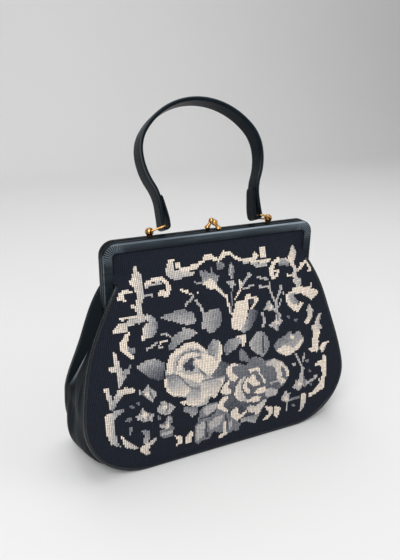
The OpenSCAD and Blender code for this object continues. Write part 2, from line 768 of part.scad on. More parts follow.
// Scroll border: start, bend and end of each stroke, then its share of the broad stroke's width
scroll_shares = [
    // Upper left: spear, hook, curl and leaves
    [[-0.56, 0.90], [-0.56, 0.80], [-0.55, 0.71], 0.9],
    [[-0.53, 0.81], [-0.47, 0.86], [-0.40, 0.83], 0.9],
    [[-0.40, 0.83], [-0.33, 0.79], [-0.38, 0.77], 0.9],
    [[-0.38, 0.77], [-0.41, 0.76], [-0.43, 0.78], 0.8],
    [[-0.62, 0.80], [-0.70, 0.81], [-0.68, 0.77], 0.9],
    [[-0.59, 0.70], [-0.66, 0.72], [-0.72, 0.70], 0.6],
    [[-0.60, 0.68], [-0.68, 0.69], [-0.76, 0.65], 1.3],
    [[-0.51, 0.69], [-0.51, 0.64], [-0.58, 0.60], 1.9],
    // Left side: curl, spear, forked stem and scroll
    [[-0.66, 0.64], [-0.76, 0.60], [-0.65, 0.54], 1.0],
    [[-0.77, 0.58], [-0.74, 0.51], [-0.76, 0.43], 1.2],
    [[-0.84, 0.51], [-0.82, 0.50], [-0.79, 0.50], 0.8],
    [[-0.85, 0.43], [-0.82, 0.40], [-0.82, 0.34], 0.8],
    [[-0.67, 0.41], [-0.75, 0.41], [-0.81, 0.34], 1.0],
    [[-0.74, 0.32], [-0.86, 0.34], [-0.86, 0.25], 1.2],
    [[-0.86, 0.25], [-0.84, 0.17], [-0.76, 0.15], 1.0],
    [[-0.77, 0.21], [-0.74, 0.14], [-0.65, 0.12], 0.8],
    [[-0.60, 0.20], [-0.58, 0.14], [-0.60, 0.09], 1.2],
    [[-0.51, 0.15], [-0.53, 0.14], [-0.55, 0.11], 0.7],
    [[-0.36, 0.14], [-0.33, 0.11], [-0.38, 0.08], 0.8],
    // Top: waving band with two stubs
    [[-0.31, 0.91], [-0.39, 0.86], [-0.31, 0.83], 1.2],
    [[-0.31, 0.83], [-0.24, 0.88], [-0.13, 0.88], 1.1],
    [[-0.13, 0.88], [-0.07, 0.92], [-0.02, 0.88], 1.0],
    [[-0.02, 0.88], [0.04, 0.92], [0.09, 0.90], 0.9],
    [[0.09, 0.90], [0.14, 0.87], [0.21, 0.86], 0.9],
    [[0.23, 0.86], [0.32, 0.84], [0.42, 0.86], 0.9],
    [[0.29, 0.91], [0.30, 0.895], [0.29, 0.88], 0.8],
    [[0.35, 0.92], [0.35, 0.90], [0.35, 0.88], 0.9],
    // Upper right: curl, spear, ring and leaf
    [[0.53, 0.83], [0.40, 0.86], [0.40, 0.78], 0.9],
    [[0.40, 0.78], [0.46, 0.75], [0.46, 0.80], 0.7],
    [[0.60, 0.89], [0.57, 0.82], [0.60, 0.71], 1.1],
    [[0.63, 0.78], [0.68, 0.84], [0.73, 0.78], 0.7],
    [[0.50, 0.77], [0.52, 0.77], [0.55, 0.76], 0.6],
    [[0.63, 0.70], [0.49, 0.70], [0.51, 0.65], 1.0],
    [[0.51, 0.65], [0.55, 0.59], [0.63, 0.63], 1.0],
    [[0.64, 0.69], [0.70, 0.69], [0.77, 0.66], 1.5],
    // Right side: stems, forked foot and scroll
    [[0.70, 0.62], [0.69, 0.57], [0.66, 0.53], 1.0],
    [[0.78, 0.57], [0.75, 0.51], [0.75, 0.43], 0.9],
    [[0.68, 0.53], [0.69, 0.51], [0.72, 0.49], 0.7],
    [[0.66, 0.41], [0.71, 0.39], [0.78, 0.40], 0.9],
    [[0.86, 0.42], [0.84, 0.41], [0.80, 0.38], 0.9],
    [[0.82, 0.35], [0.86, 0.28], [0.85, 0.19], 1.0],
    [[0.73, 0.31], [0.77, 0.32], [0.81, 0.32], 0.6],
    [[0.84, 0.17], [0.85, 0.13], [0.70, 0.14], 0.9],
    [[0.66, 0.17], [0.67, 0.12], [0.63, 0.08], 1.0],
    [[0.34, 0.11], [0.37, 0.09], [0.31, 0.06], 0.8],
    [[0.42, 0.13], [0.43, 0.11], [0.43, 0.08], 1.0]
];

// Leaves between the flowers: foot, bend and tip of each vein, then the share of the leaf's width
leaf_shares = [
    [[-0.45, 0.67], [-0.32, 0.69], [-0.21, 0.65], 1.0],
    [[-0.09, 0.57], [-0.12, 0.64], [-0.03, 0.69], 1.1],
    [[-0.21, 0.60], [-0.32, 0.60], [-0.40, 0.56], 0.6],
    [[-0.64, 0.47], [-0.56, 0.50], [-0.48, 0.47], 1.1],
    [[0.30, 0.45], [0.27, 0.49], [0.29, 0.55], 1.1],
    [[0.01, 0.48], [0.05, 0.52], [0.15, 0.52], 0.7],
    [[-0.20, 0.08], [-0.14, 0.15], [-0.06, 0.19], 1.0],
    [[-0.30, 0.12], [-0.29, 0.17], [-0.25, 0.22], 0.5],
    [[0.42, 0.46], [0.50, 0.42], [0.60, 0.46], 0.9]
];

// Rosebud and carnation, each in two halves like a leaf
bud_shares = [
    [[0.07, 0.58], [0.13, 0.64], [0.21, 0.71], 1.3],
    [[-0.07, 0.75], [-0.06, 0.79], [-0.08, 0.83], 1.2]
];

// Thin sprigs, written as the scroll border is
sprig_shares = [
    [[0.01, 0.74], [0.05, 0.71], [0.06, 0.66], 0.4],
    [[0.10, 0.84], [0.09, 0.81], [0.09, 0.76], 0.8],
    [[0.13, 0.74], [0.15, 0.76], [0.22, 0.80], 0.4],
    [[0.37, 0.73], [0.38, 0.67], [0.39, 0.62], 0.4],
    [[0.46, 0.73], [0.45, 0.68], [0.42, 0.63], 0.4],
    [[-0.29, 0.77], [-0.24, 0.77], [-0.19, 0.74], 0.5],
    [[-0.16, 0.74], [-0.14, 0.71], [-0.15, 0.69], 0.4],
    [[-0.47, 0.60], [-0.43, 0.61], [-0.39, 0.60], 0.4],
    [[0.59, 0.38], [0.61, 0.34], [0.62, 0.29], 0.4],
    [[0.70, 0.29], [0.69, 0.26], [0.67, 0.24], 0.4],
    [[-0.69, 0.30], [-0.68, 0.26], [-0.70, 0.21], 0.6],
    [[-0.68, 0.52], [-0.69, 0.49], [-0.71, 0.46], 0.7]
];

// Roses and small flowers: spot and half sizes
rose_shares = [[-0.26, 0.43, 0.20, 0.13], [0.22, 0.27, 0.25, 0.15]];
small_shares = [
    [-0.57, 0.37, 0.07, 0.045], [-0.46, 0.28, 0.07, 0.045], [-0.60, 0.28, 0.07, 0.045],
    [-0.44, 0.18, 0.06, 0.04], [0.60, 0.22, 0.065, 0.04], [0.52, 0.14, 0.05, 0.03],
    [0.41, 0.57, 0.055, 0.035]
];

module cream_stitches() {
    color([0.92, 0.87, 0.8]) {
        for (row = scroll_shares) {
            stroke(row);
        }
        for (row = bud_shares) {
            half_leaf(row, -1);
        }
        for (row = rose_shares) {
            petals(row, 0.6, 0.8, 5, [0:4]);
            petals(row, 0.87, 1, 7, [1:4]);
        }
        for (row = small_shares) {
            heart(row, 0.25);
        }
    }
}

module light_grey_stitches() {
    color([0.74, 0.73, 0.75]) {
        for (row = concat(leaf_shares, bud_shares)) {
            half_leaf(row, 1);
        }
        for (row = rose_shares) {
            petals(row, 0.28, 0.53, 4, [0:3]);
            petals(row, 0.87, 1, 7, [0, 5, 6]);
        }
        for (row = small_shares) {
            petals(row, 0.48, 1, 5, [0:4], 3);
        }
    }
}

module mid_grey_stitches() {
    color([0.43, 0.45, 0.49]) {
        for (row = sprig_shares) {
            stroke(row);
        }
        for (row = leaf_shares) {
            half_leaf(row, -1);
        }
        for (row = rose_shares) {
            petals(row, 0.04, 0.22, 3, [0:2]);
        }
    }
}

rear_frame();
rear_frame_leather();
front_frame();
front_frame_leather();
left_hinge_rivet();
right_hinge_rivet();
front_clasp_knob();
rear_clasp_knob();
front_panel();
rear_panel();
front_piping();
rear_piping();
gusset();
lining();
base_board();
cream_stitches();
light_grey_stitches();
mid_grey_stitches();
left_handle_stud();
right_handle_stud();
left_ring();
right_ring();
handle_strap();
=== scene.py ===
"""Tapestry handbag: the pieces that are seen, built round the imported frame."""

import math

import bmesh
import bpy
import numpy as np
from mathutils import Matrix, Vector, noise


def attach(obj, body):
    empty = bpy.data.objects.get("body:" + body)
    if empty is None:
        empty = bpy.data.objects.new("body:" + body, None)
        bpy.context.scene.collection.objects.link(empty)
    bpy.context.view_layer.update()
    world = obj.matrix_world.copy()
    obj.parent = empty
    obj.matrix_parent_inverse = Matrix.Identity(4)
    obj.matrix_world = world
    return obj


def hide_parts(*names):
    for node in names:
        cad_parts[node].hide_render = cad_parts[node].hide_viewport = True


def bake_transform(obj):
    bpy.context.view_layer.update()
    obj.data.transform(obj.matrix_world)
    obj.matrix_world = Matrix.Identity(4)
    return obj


bl_info = {
    "name": "Tapestry handbag",
    "version": (1, 0, 0),
    "blender": (4, 5, 0),
    "location": "View3D > Sidebar > Handbag",
    "description": "Builds a needlepoint handbag with a leather gusset, frame and handle",
    "category": "Object",
}

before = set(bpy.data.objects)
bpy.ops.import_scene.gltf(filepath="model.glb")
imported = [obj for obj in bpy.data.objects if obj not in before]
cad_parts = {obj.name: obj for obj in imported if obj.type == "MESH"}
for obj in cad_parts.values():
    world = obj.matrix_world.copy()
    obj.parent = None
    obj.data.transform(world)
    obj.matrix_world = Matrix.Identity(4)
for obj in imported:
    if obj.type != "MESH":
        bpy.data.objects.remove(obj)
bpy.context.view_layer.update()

# The photograph's frame, and the place from which it was taken
PHOTO_MIDDLE = (200.0, 280.0)
PHOTO_LONG_SIDE = 560.0
FOCAL_PIXELS = 566.9
CAMERA_PLACE = (-0.2406, -0.4690, 0.3744)
CAMERA_YAW = math.radians(25.90)
CAMERA_PITCH = math.radians(21.10)
CAMERA_ROLL = math.radians(-0.91)
SENSOR = 36.0

# Centre of the frame's corners, and the number of pleats at each
CORNER_X, CORNER_Z = 0.0985, 0.2094
PLEATS = 9

# Distance within which points are one
WELD = 1e-6

# Range of a seen colour, and the curve from it to light
BYTE, SRGB_FOOT, SRGB_SLOPE, SRGB_SHIFT, SRGB_POWER = 255, 0.04045, 12.92, 0.055, 2.4

# Wools of the needlepoint, from the palest to the ground
C, L, M, D, G = range(5)


def length(name, description, default):
    """A length in metres."""
    return bpy.props.FloatProperty(
        name=name, description=description, default=default, unit="LENGTH", precision=4
    )


def number(name, description, default):
    """A plain number."""
    return bpy.props.FloatProperty(name=name, description=description, default=default)


def degrees(name, description, default):
    """An angle, given in degrees."""
    return bpy.props.FloatProperty(
        name=name, description=description, default=math.radians(default), subtype="ANGLE"
    )


def power(name, description, default):
    """The power of a light."""
    return bpy.props.FloatProperty(name=name, description=description, default=default, unit="POWER")


def colour(name, description, default):
    """A colour, given as it is seen."""
    return bpy.props.FloatVectorProperty(
        name=name, description=description, default=linear(default), subtype="COLOR", size=3, min=0, max=1,
    )


def linear(rgb):
    """Seen colour from 0 to 255 as the light that it stands for."""
    seen = [v / BYTE for v in rgb]
    return tuple(
        v / SRGB_SLOPE if v <= SRGB_FOOT else ((v + SRGB_SHIFT) / (1 + SRGB_SHIFT)) ** SRGB_POWER
        for v in seen
    )


class BagForm(bpy.types.PropertyGroup):
    """Outline and section of the body."""

    half_width: length("Half width", "From the middle to the piping's outer edge", 0.146)
    corner_radius: length("Corner radius", "Radius of the bottom corners", 0.0615)
    side_radius: length("Side radius", "Radius of the long curve up each side", 0.285)
    side_lean: degrees("Side lean", "Lean of each side where its long curve starts", 7)
    depth: length("Depth", "From the middle plane to a panel where it stands furthest out", 0.0407)
    bulge_height: length("Bulge height", "Where the panels stand furthest out", 0.020)
    tuck: length("Tuck", "Depth of the panels inside the frame", 0.0048)
    top: length("Top", "Lower edge of the frame's band", 0.2139)
    settle_in: length("Settle start", "Where a panel starts to settle beside the legs", 0.078)
    settle_out: length("Settle end", "Where a panel has settled beside the legs", 0.099)
    settle_low: length("Settle foot", "Height at which that settling starts", 0.184)
    settle_high: length("Settle head", "Height at which that settling is full", 0.195)
    fall: length("Fall", "How far the sides fall in below the hinges", 0.008)
    rear_fall: length("Rear fall", "How far the rear sides fall in there", 0.017)
    fall_low: length("Fall foot", "Height at which the sides start to fall in", 0.050)
    fall_mid: length("Fall middle", "Height at which they fall in most", 0.125)
    sag: length("Sag", "How far the rear corners sag outwards", 0.010)
    sag_depth: length("Sag depth", "Distance behind the middle at which that sag is full", 0.035)
    corner_bulge: length("Corner bulge", "How far the gusset stands out round the bottom corners", 0.009)
    seam_top: length("Seam top", "Top of the side seams", 0.187)
    hinge_height: length("Hinge height", "Height of the frame's hinges", 0.157)
    welt_radius: length("Piping radius", "Radius of the piping", 0.0018)
    panel_thickness: length("Panel", "Thickness of the needlepoint", 0.0017)
    gusset_thickness: length("Gusset", "Thickness of the gusset leather", 0.0014)
    gusset_inset: length("Gusset inset", "How far the sides lie behind the piping", 0.0014)
    fold_depth: length("Fold", "Depth of the gusset's fold under the hinge", 0.021)
    crest: length("Crease depth", "How far the crease beside the fold lies in under the hinge", 0.0115)
    crest_power: number("Crease bow", "How late the crease turns in", 1.4)
    crease_low: number("Crease foot", "Place of the crease at its foot, from -1 in front to 1 behind", 0.74)
    crease_high: number("Crease head", "Place of the crease under the hinge, from -1 to 1", -0.08)
    valley: number("Valley", "Place of the fold's bottom, as a share from the crease to the rear", 0.42)
    lip_start: number("Lip start", "Share of the half depth at which the gusset's top starts to rise", 0.3)
    lip_end: number("Lip end", "Share of the half depth at which that rise is full", 0.66)
    seat: length("Seat", "Gap between the gusset and the piping", 0.0003)
    lining_drop: length("Lining drop", "How far the lining ends below the gusset's top", 0.012)
    lining_gap: length("Lining gap", "Gap between the side lining and the linings of the panels", 0.003)
    fold_foot: length("Fold foot", "Height at which the fold runs out", 0.074)
    fold_top: length("Fold top", "Top of the gusset's middle", 0.1505)
    lining_inset: length("Lining inset", "How far the lining lies inside the outline", 0.0051)
    lining_depth: length("Lining depth", "How far the lining lies behind the needlepoint", 0.0022)
    leg_inside: length("Leg", "From the middle to the frame's legs", 0.1027)
    tuck_half: length("Tuck half width", "Half width of a panel inside the frame", 0.1089)
    tuck_top: length("Tuck top", "Top edge of a panel inside the frame", 0.2198)


class BagCloth(bpy.types.PropertyGroup):
    """Needlepoint, leather and cloth."""

    stitch: length("Stitch", "Width of one stitch", 0.0017)
    mixing: number("Mixing", "How far wools mix where they shade", 0.45)
    unevenness: number("Unevenness", "How far stitches differ in depth", 0.26)
    relief: length("Relief", "Height of a column of stitches", 0.00022)
    hidden_edge: length("Hidden edge", "Needlepoint that lies inside the piping", 0.0016)
    cream: colour("Cream", "Palest wool", (238, 224, 208))
    light: colour("Light grey", "Light grey wool", (184, 181, 180))
    mid: colour("Mid grey", "Mid grey wool", (122, 124, 130))
    dark: colour("Dark grey", "Dark grey wool", (64, 68, 78))
    ground: colour("Ground", "Wool of the ground", (27, 32, 43))
    leather: colour("Leather", "Black leather", (13, 20, 25))
    worn_leather: colour("Worn leather", "Leather where it is rubbed", (24, 33, 40))
    # Colour of painted highlights: along the gusset's crease, in a soft spot low on it, and along the strap's
    # edges
    leather_highlight: colour("Painted leather highlight", "Leather along a sharp crease", (150, 158, 164))
    # Colour of the painted shade inside the gusset's fold
    fold_shade_leather: colour("Painted fold shade", "Leather inside a fold", (25, 31, 35))
    # Colour of the painted highlights and scuffs along the frame's edges, band, legs and pleat crests
    scuff_and_highlight_leather: colour("Scuffs and painted highlight", "Leather along the frame's edges", (152, 166, 177))
    lining: colour("Lining", "Lining cloth", (176, 164, 140))
    lining_strip_width: length("Side lining width", "Width of the cloth for the side lining", 0.080)
    lining_strip_length: length("Side lining length", "Length of the cloth for the side lining", 0.620)
    leather_gloss: number("Leather gloss", "Index of the leather's finish", 1.11)
    piping_gloss: number("Piping gloss", "Index of the piping's finish", 1.42)
    gusset_gloss: number("Gusset gloss", "Index of the gusset's finish", 1.04)


class BagMetal(bpy.types.PropertyGroup):
    """Fittings."""

    brass: colour("Brass", "Clean brass", (202, 152, 88))
    tarnish: colour("Tarnish", "Brass that has darkened", (122, 86, 50))
    steel: colour("Steel", "Plated steel of the frame", (38, 38, 40))
    board: colour("Board", "Board in the base", (120, 98, 74))


class BagHandle(bpy.types.PropertyGroup):
    """The strap, measured along the handle's lean from the line of the studs."""

    lean: degrees("Lean", "Lean of the handle at rest", 22)
    pivot_depth: length("Pivot depth", "Depth of the studs' line", 0.00325)
    pivot_height: length("Pivot height", "Height of the studs' line", 0.2274)
    width: length("Width", "Width of the strap", 0.0168)
    thickness: length("Thickness", "Thickness of the strap", 0.0042)
    tongue: length("Tongue", "Thickness of the folded back ends", 0.002)
    tongue_top: length("Tongue top", "Height of the folded back ends", 0.032)
    tongue_rest: length("Tongue rest", "From the middle to the tops of those ends", 0.0488)
    loop: length("Loop", "Radius of the loops round the rings", 0.0034)
    loop_rise: length("Loop rise", "How far the loops' middles lie above the bars", 0.0006)
    swell: length("Swell", "How much wider the strap is above its ends", 0.0024)
    bar_height: length("Bar height", "Height of the bars in the strap's loops", 0.0032)
    # Strength of the painted highlight along the strap's rubbed edges
    rub_and_highlight: number("Rubbing and highlight", "How far the strap's edges are rubbed", 0.16)


class BagStage(bpy.types.PropertyGroup):
    """Floor and light."""

    floor: colour("Floor", "Pale floor", (226, 226, 226))
    key: power("Key", "Power of the main light", 34.0)
    fill: power("Fill", "Power of the side light", 9.0)
    top: power("Top", "Power of the light above", 16.0)
    sky: number("Sky", "Strength of the light all round", 0.34)


# Camera


def camera_axes():
    """Right, down and forward of the photograph's camera."""
    forward = Vector((
        math.sin(CAMERA_YAW) * math.cos(CAMERA_PITCH),
        math.cos(CAMERA_YAW) * math.cos(CAMERA_PITCH),
        -math.sin(CAMERA_PITCH),
    ))
    level = Vector((math.cos(CAMERA_YAW), -math.sin(CAMERA_YAW), 0))
    below = forward.cross(level)
    right = math.cos(CAMERA_ROLL) * level + math.sin(CAMERA_ROLL) * below
    down = -math.sin(CAMERA_ROLL) * level + math.cos(CAMERA_ROLL) * below
    return right, down, forward


def photo_pixels(points):
    """Where points of the object fall in the photograph."""
    right, down, forward = camera_axes()
    away = points - np.array(CAMERA_PLACE)
    ahead = away @ np.array(forward)
    return np.stack([
        PHOTO_MIDDLE[0] + FOCAL_PIXELS * (away @ np.array(right)) / ahead,
        PHOTO_MIDDLE[1] + FOCAL_PIXELS * (away @ np.array(down)) / ahead,
    ], axis=1)


# Form of the body


def soft(a, b, v):
    """Smooth step from 0 at a to 1 at b."""
    t = np.clip((v - a) / (b - a), 0, 1)
    return t * t * (3 - 2 * t)


def face_depth(form, x, z, rear=False):
    """Distance of a panel's outer face from the middle plane."""
    out = form.depth - form.tuck
    rise = form.top - form.bulge_height
    radius = (rise * rise + out * out) / (2 * out)
    drop = np.minimum(np.abs(z - form.bulge_height), rise)
    bulge = form.depth - radius + np.sqrt(radius * radius - drop * drop)
    bulge = np.where(z >= form.top, form.tuck, bulge)
    fall = soft(form.settle_in, form.half_width, np.abs(x))
    fall = fall * soft(form.fall_low, form.fall_mid, z) * (1 - soft(form.fall_mid, form.settle_low, z))
    near = soft(form.settle_in, form.settle_out, np.abs(x)) * soft(form.settle_low, form.settle_high, z)
    return (bulge - (form.rear_fall if rear else form.fall) * fall) * (1 - near) + form.tuck * near


def outline_centres(form):
    """Centres of the corner circle and of the side's long curve."""
    corner = Vector((form.half_width - form.corner_radius, form.corner_radius))
    reach = form.side_radius - form.corner_radius
    return corner, corner - reach * Vector((math.cos(form.side_lean), math.sin(form.side_lean)))


def outline_half(form, z, inset):
    """Half width of the outline at height z."""
    corner, side = outline_centres(form)
    low = corner.x + np.sqrt(np.maximum((form.corner_radius - inset) ** 2 - (z - corner.y) ** 2, 0))
    high = side.x + np.sqrt(np.maximum((form.side_radius - inset) ** 2 - (z - side.y) ** 2, 0))
    join = corner.y + (form.corner_radius - inset) * math.sin(form.side_lean)
    return np.where(z < join, low, high)


def outline_at(form, share, top):
    """Centre, radius and angle at a share of the right half, from the base's middle to the height top."""
    corner, side = outline_centres(form)
    end = math.asin((top - side.y) / form.side_radius)
    runs = (
        corner.x,
        form.corner_radius * (math.pi / 2 + form.side_lean),
        form.side_radius * (end - form.side_lean),
    )
    run = share * sum(runs)
    if run <= runs[0]:
        return Vector((run, corner.y)), form.corner_radius, -math.pi / 2
    run -= runs[0]
    if run <= runs[1]:
        return corner, form.corner_radius, -math.pi / 2 + run / form.corner_radius
    return side, form.side_radius, form.side_lean + (run - runs[1]) / form.side_radius


def outline_point(station, inset):
    """Point of such a place, set in by inset."""
    centre, radius, angle = station
    return centre + (radius - inset) * Vector((math.cos(angle), math.sin(angle)))


def outwards(angle, hand):
    """Direction out of the outline at an angle, on the right (1) or the left (-1)."""
    return Vector((hand * math.cos(angle), 0, math.sin(angle)))


def sag(form, bm):
    """Let the rear corners of a soft piece sag."""
    corner, _ = outline_centres(form)
    for vert in bm.verts:
        x, z = abs(vert.co.x) - corner.x, vert.co.z - corner.y
        if x <= 0 or z >= 0 or vert.co.y <= -form.sag_depth:
            continue
        reach = math.hypot(x, z)
        share = (2 * x * z / reach ** 2) ** 2 * (reach / form.corner_radius) ** 2
        share *= form.sag * float(soft(-form.sag_depth, form.sag_depth, vert.co.y)) / reach
        vert.co.x += math.copysign(share * x, vert.co.x)
        vert.co.z = max(0, vert.co.z + share * z)


# Meshes


def finish_piece(name, bm, material):
    """Object from a bmesh, at the origin."""
    mesh = bpy.data.meshes.new(name)
    bm.to_mesh(mesh)
    bm.free()
    mesh.polygons.foreach_set("use_smooth", [True] * len(mesh.polygons))
    obj = bpy.data.objects.new(name, mesh)
    bpy.context.collection.objects.link(obj)
    mesh.materials.append(material)
    return obj


def grid(columns, rows, place):
    """Grid whose points come from place(u, v), with u and v from 0 to 1."""
    bm = bmesh.new()
    bmesh.ops.create_grid(bm, x_segments=columns, y_segments=rows, size=0.5)
    for vert in bm.verts:
        vert.co = place(vert.co.x + 0.5, vert.co.y + 0.5)
    return bm


def drop_faces(bm, keep):
    """Delete the faces whose middle keep() refuses, and what they leave loose."""
    gone = [face for face in bm.faces if not keep(face.calc_center_median())]
    bmesh.ops.delete(bm, geom=gone, context="FACES")


def tube(sections):
    """Tube through matching rings of points, closed at both ends."""
    rows, count = len(sections) - 1, len(sections[0])
    bm = grid(count, rows, lambda u, v: sections[round(v * rows)][round(u * count) % count])
    bmesh.ops.remove_doubles(bm, verts=bm.verts[:], dist=WELD)
    bmesh.ops.holes_fill(bm, edges=[edge for edge in bm.edges if edge.is_boundary], sides=0)
    bmesh.ops.recalc_face_normals(bm, faces=bm.faces[:])
    return bm


def set_uv(obj, name, values):
    """UV map from one pair of values per vertex."""
    mesh = obj.data
    corners = np.empty(len(mesh.loops), dtype=np.int32)
    mesh.loops.foreach_get("vertex_index", corners)
    layer = mesh.uv_layers.new(name=name)
    layer.data.foreach_set("uv", np.asarray(values, dtype=np.float32)[corners].ravel())


def vertex_array(mesh):
    """The vertices as an array."""
    out = np.empty(len(mesh.vertices) * 3, dtype=np.float32)
    mesh.vertices.foreach_get("co", out)
    return out.reshape(-1, 3)


# Node groups and materials

# Places of the colour sockets on a Mix node
MIX_A, MIX_B, MIX_RESULT = 6, 7, 2

# Shares of pores, fine grain and broad waves in the height of leather, and how sharply its pores end
LEATHER_SHARES = (0.5, 0.4, 2.0)
PORE_SHARPNESS = 3.0

# Noise at which leather is rubbed, and its roughness from the low to the high places
LEATHER_RUBBED, LEATHER_ROUGHNESS = (0.45, 0.8), (0.24, 0.4)

# Stitches: slant of a row, sharpness of its sides and ends, depth of the ends, and fuzz
STITCH_SLANT, STITCH_SIDES, STITCH_ENDS = 0.3, 3.2, 4.0
STITCH_END_DEPTH, STITCH_END_REST, STITCH_FUZZ = 0.7, 0.3, 0.35

# Painted shade and painted light on the wool, from the low to the high places of a stitch
STITCH_HEIGHTS, STITCH_SHADES = (0.1, 1.1), (0.16, 1.22)

# Noise at which brass is dark, and over which its roughness rises
BRASS_DARK, BRASS_NOISE, BRASS_ROUGHNESS = (0.5, 0.75), (0.3, 0.8), (0.2, 0.42)

# Where painted highlights and scuffs lie on the frame's leather: ranges from none to full, in metres
SHEEN_WEAR_FRONT = (0.0060, 0.0066)
SHEEN_WEAR_EDGE = (0.2206, 0.2215)
SHEEN_WEAR_BAND = (0.2139, 0.2200)
SHEEN_WEAR_ACROSS = (-0.11, 0.08)
SHEEN_WEAR_LEG_EDGE = (0.1108, 0.1116)
SHEEN_WEAR_LEG_HEIGHT = (0.150, 0.205)
PLEAT_RISE = (-0.0090, -0.0010)
PLEAT_START = (0.0042, 0.0060)
PLEAT_END = (0.0122, 0.0136)

# Strength of those painted highlights and scuffs there, at both ends of a range
SHEEN_RUB_STREAKS, SHEEN_RUB_EDGE = (0.45, 1.0), (0.5, 0.95)
SHEEN_RUB_BAND, SHEEN_RUB_ALONG = (0.04, 0.26), (0.42, 1.0)
SHEEN_RUB_LEG, SHEEN_RUB_LEG_HEIGHT = (0.12, 1.0), (0.25, 0.5)
SHEEN_RUB_PLEAT, SHEEN_RUB_FADE = (0.0, 0.75), (1.0, 0.0)
STREAK_RANGE, CREST_RANGE = (0.36, 0.62), (0.33, 0.47)
STREAK_SCALE = (16.0, 16.0, 260.0)

# Relief of leather, how much duller a fold is, and the piping's share of the roughness
LEATHER_BUMP, GUSSET_BUMP, LEATHER_BUMP_DEPTH = 0.3, 0.12, 0.0004
FOLD_DULLNESS, PIPING_ROUGHNESS = 0.4, 0.6
WOOL_BUMP, WOOL_BUMP_DEPTH = 0.6, 0.0003

# Darkest and lightest share of a cloth's colour, and of the floor's
CLOTH_SHADES, FLOOR_SHADES = (0.75, 1.1), (0.97, 1.0)


def feed(tree, socket, value):
    """Set a socket to a value, or link another socket to it."""
    if hasattr(value, "links"):
        tree.links.new(value, socket)
    else:
        socket.default_value = value


def fill(tree, node, **values):
    """Feed a node's sockets, by their names."""
    for key, value in values.items():
        feed(tree, node.inputs[key.replace("_", " ")], value)


def add(tree, kind, settings=(), **values):
    """Node with its settings, and its sockets fed."""
    node = tree.nodes.new(kind)
    for key, value in dict(settings).items():
        setattr(node, key, value)
    fill(tree, node, **values)
    return node


def maths(tree, operation, first, *others):
    """Result of one Math operation on values or sockets, taken from the left."""
    for other in others:
        node = add(tree, "ShaderNodeMath", {"operation": operation})
        feed(tree, node.inputs[0], first)
        feed(tree, node.inputs[1], other)
        first = node.outputs[0]
    return first


def ramp(tree, value, given, wanted=(0.0, 1.0)):
    """Value carried from the given range to the wanted one, and held to its ends."""
    node = add(
        tree, "ShaderNodeMapRange", Value=value,
        From_Min=given[0], From_Max=given[1], To_Min=wanted[0], To_Max=wanted[1],
    )
    return node.outputs["Result"]


def cloudy(tree, vector, **values):
    """Noise at a vector."""
    return add(tree, "ShaderNodeTexNoise", Vector=vector, **values).outputs["Fac"]


def object_coords(tree):
    """Coordinates of the object."""
    return tree.nodes.new("ShaderNodeTexCoord").outputs["Object"]


def bumpy(tree, height, strength, depth):
    """Normal of a surface with that height."""
    return add(tree, "ShaderNodeBump", Height=height, Strength=strength, Distance=depth).outputs["Normal"]


def mix_colours(tree, factor, first, second, blend="MIX"):
    """Mix of two colours."""
    node = add(tree, "ShaderNodeMix", {"data_type": "RGBA", "blend_type": blend}, Factor=factor)
    for place, value in ((MIX_A, first), (MIX_B, second)):
        feed(tree, node.inputs[place], value if hasattr(value, "links") else (*value, 1))
    return node.outputs[MIX_RESULT]


def make_group(name, *results):
    """Empty node group that takes a vector and gives values."""
    tree = bpy.data.node_groups.new(name, "ShaderNodeTree")
    tree.interface.new_socket("Vector", in_out="INPUT", socket_type="NodeSocketVector")
    for result in results:
        tree.interface.new_socket(result, in_out="OUTPUT", socket_type="NodeSocketFloat")
    given = tree.nodes.new("NodeGroupInput").outputs["Vector"]
    return tree, given, tree.nodes.new("NodeGroupOutput")


def group_results(tree, name, maker, vector):
    """Results of a shared group, which is made at its first use."""
    shared = bpy.data.node_groups.get(name) or maker(name)
    return add(tree, "ShaderNodeGroup", {"node_tree": shared}, Vector=vector).outputs


def leather_group(name):
    """Grain and rubbed places of leather."""
    tree, given, out = make_group(name, "Rubbed", "Height", "Roughness")
    cells = add(tree, "ShaderNodeTexVoronoi", {"feature": "DISTANCE_TO_EDGE"}, Vector=given, Scale=1100.0)
    fine = cloudy(tree, given, Scale=2600.0, Detail=3.0)
    broad = cloudy(tree, given, Scale=42.0, Detail=5.0, Roughness=0.6)
    pores = maths(tree, "MULTIPLY", cells.outputs["Distance"], PORE_SHARPNESS)
    pores = maths(tree, "MINIMUM", pores, 1.0)
    parts = [maths(tree, "MULTIPLY", *pair) for pair in zip((pores, fine, broad), LEATHER_SHARES)]
    fill(
        tree, out, Height=maths(tree, "ADD", *parts), Rubbed=ramp(tree, broad, LEATHER_RUBBED),
        Roughness=ramp(tree, broad, (0.0, 1.0), LEATHER_ROUGHNESS),
    )
    return tree


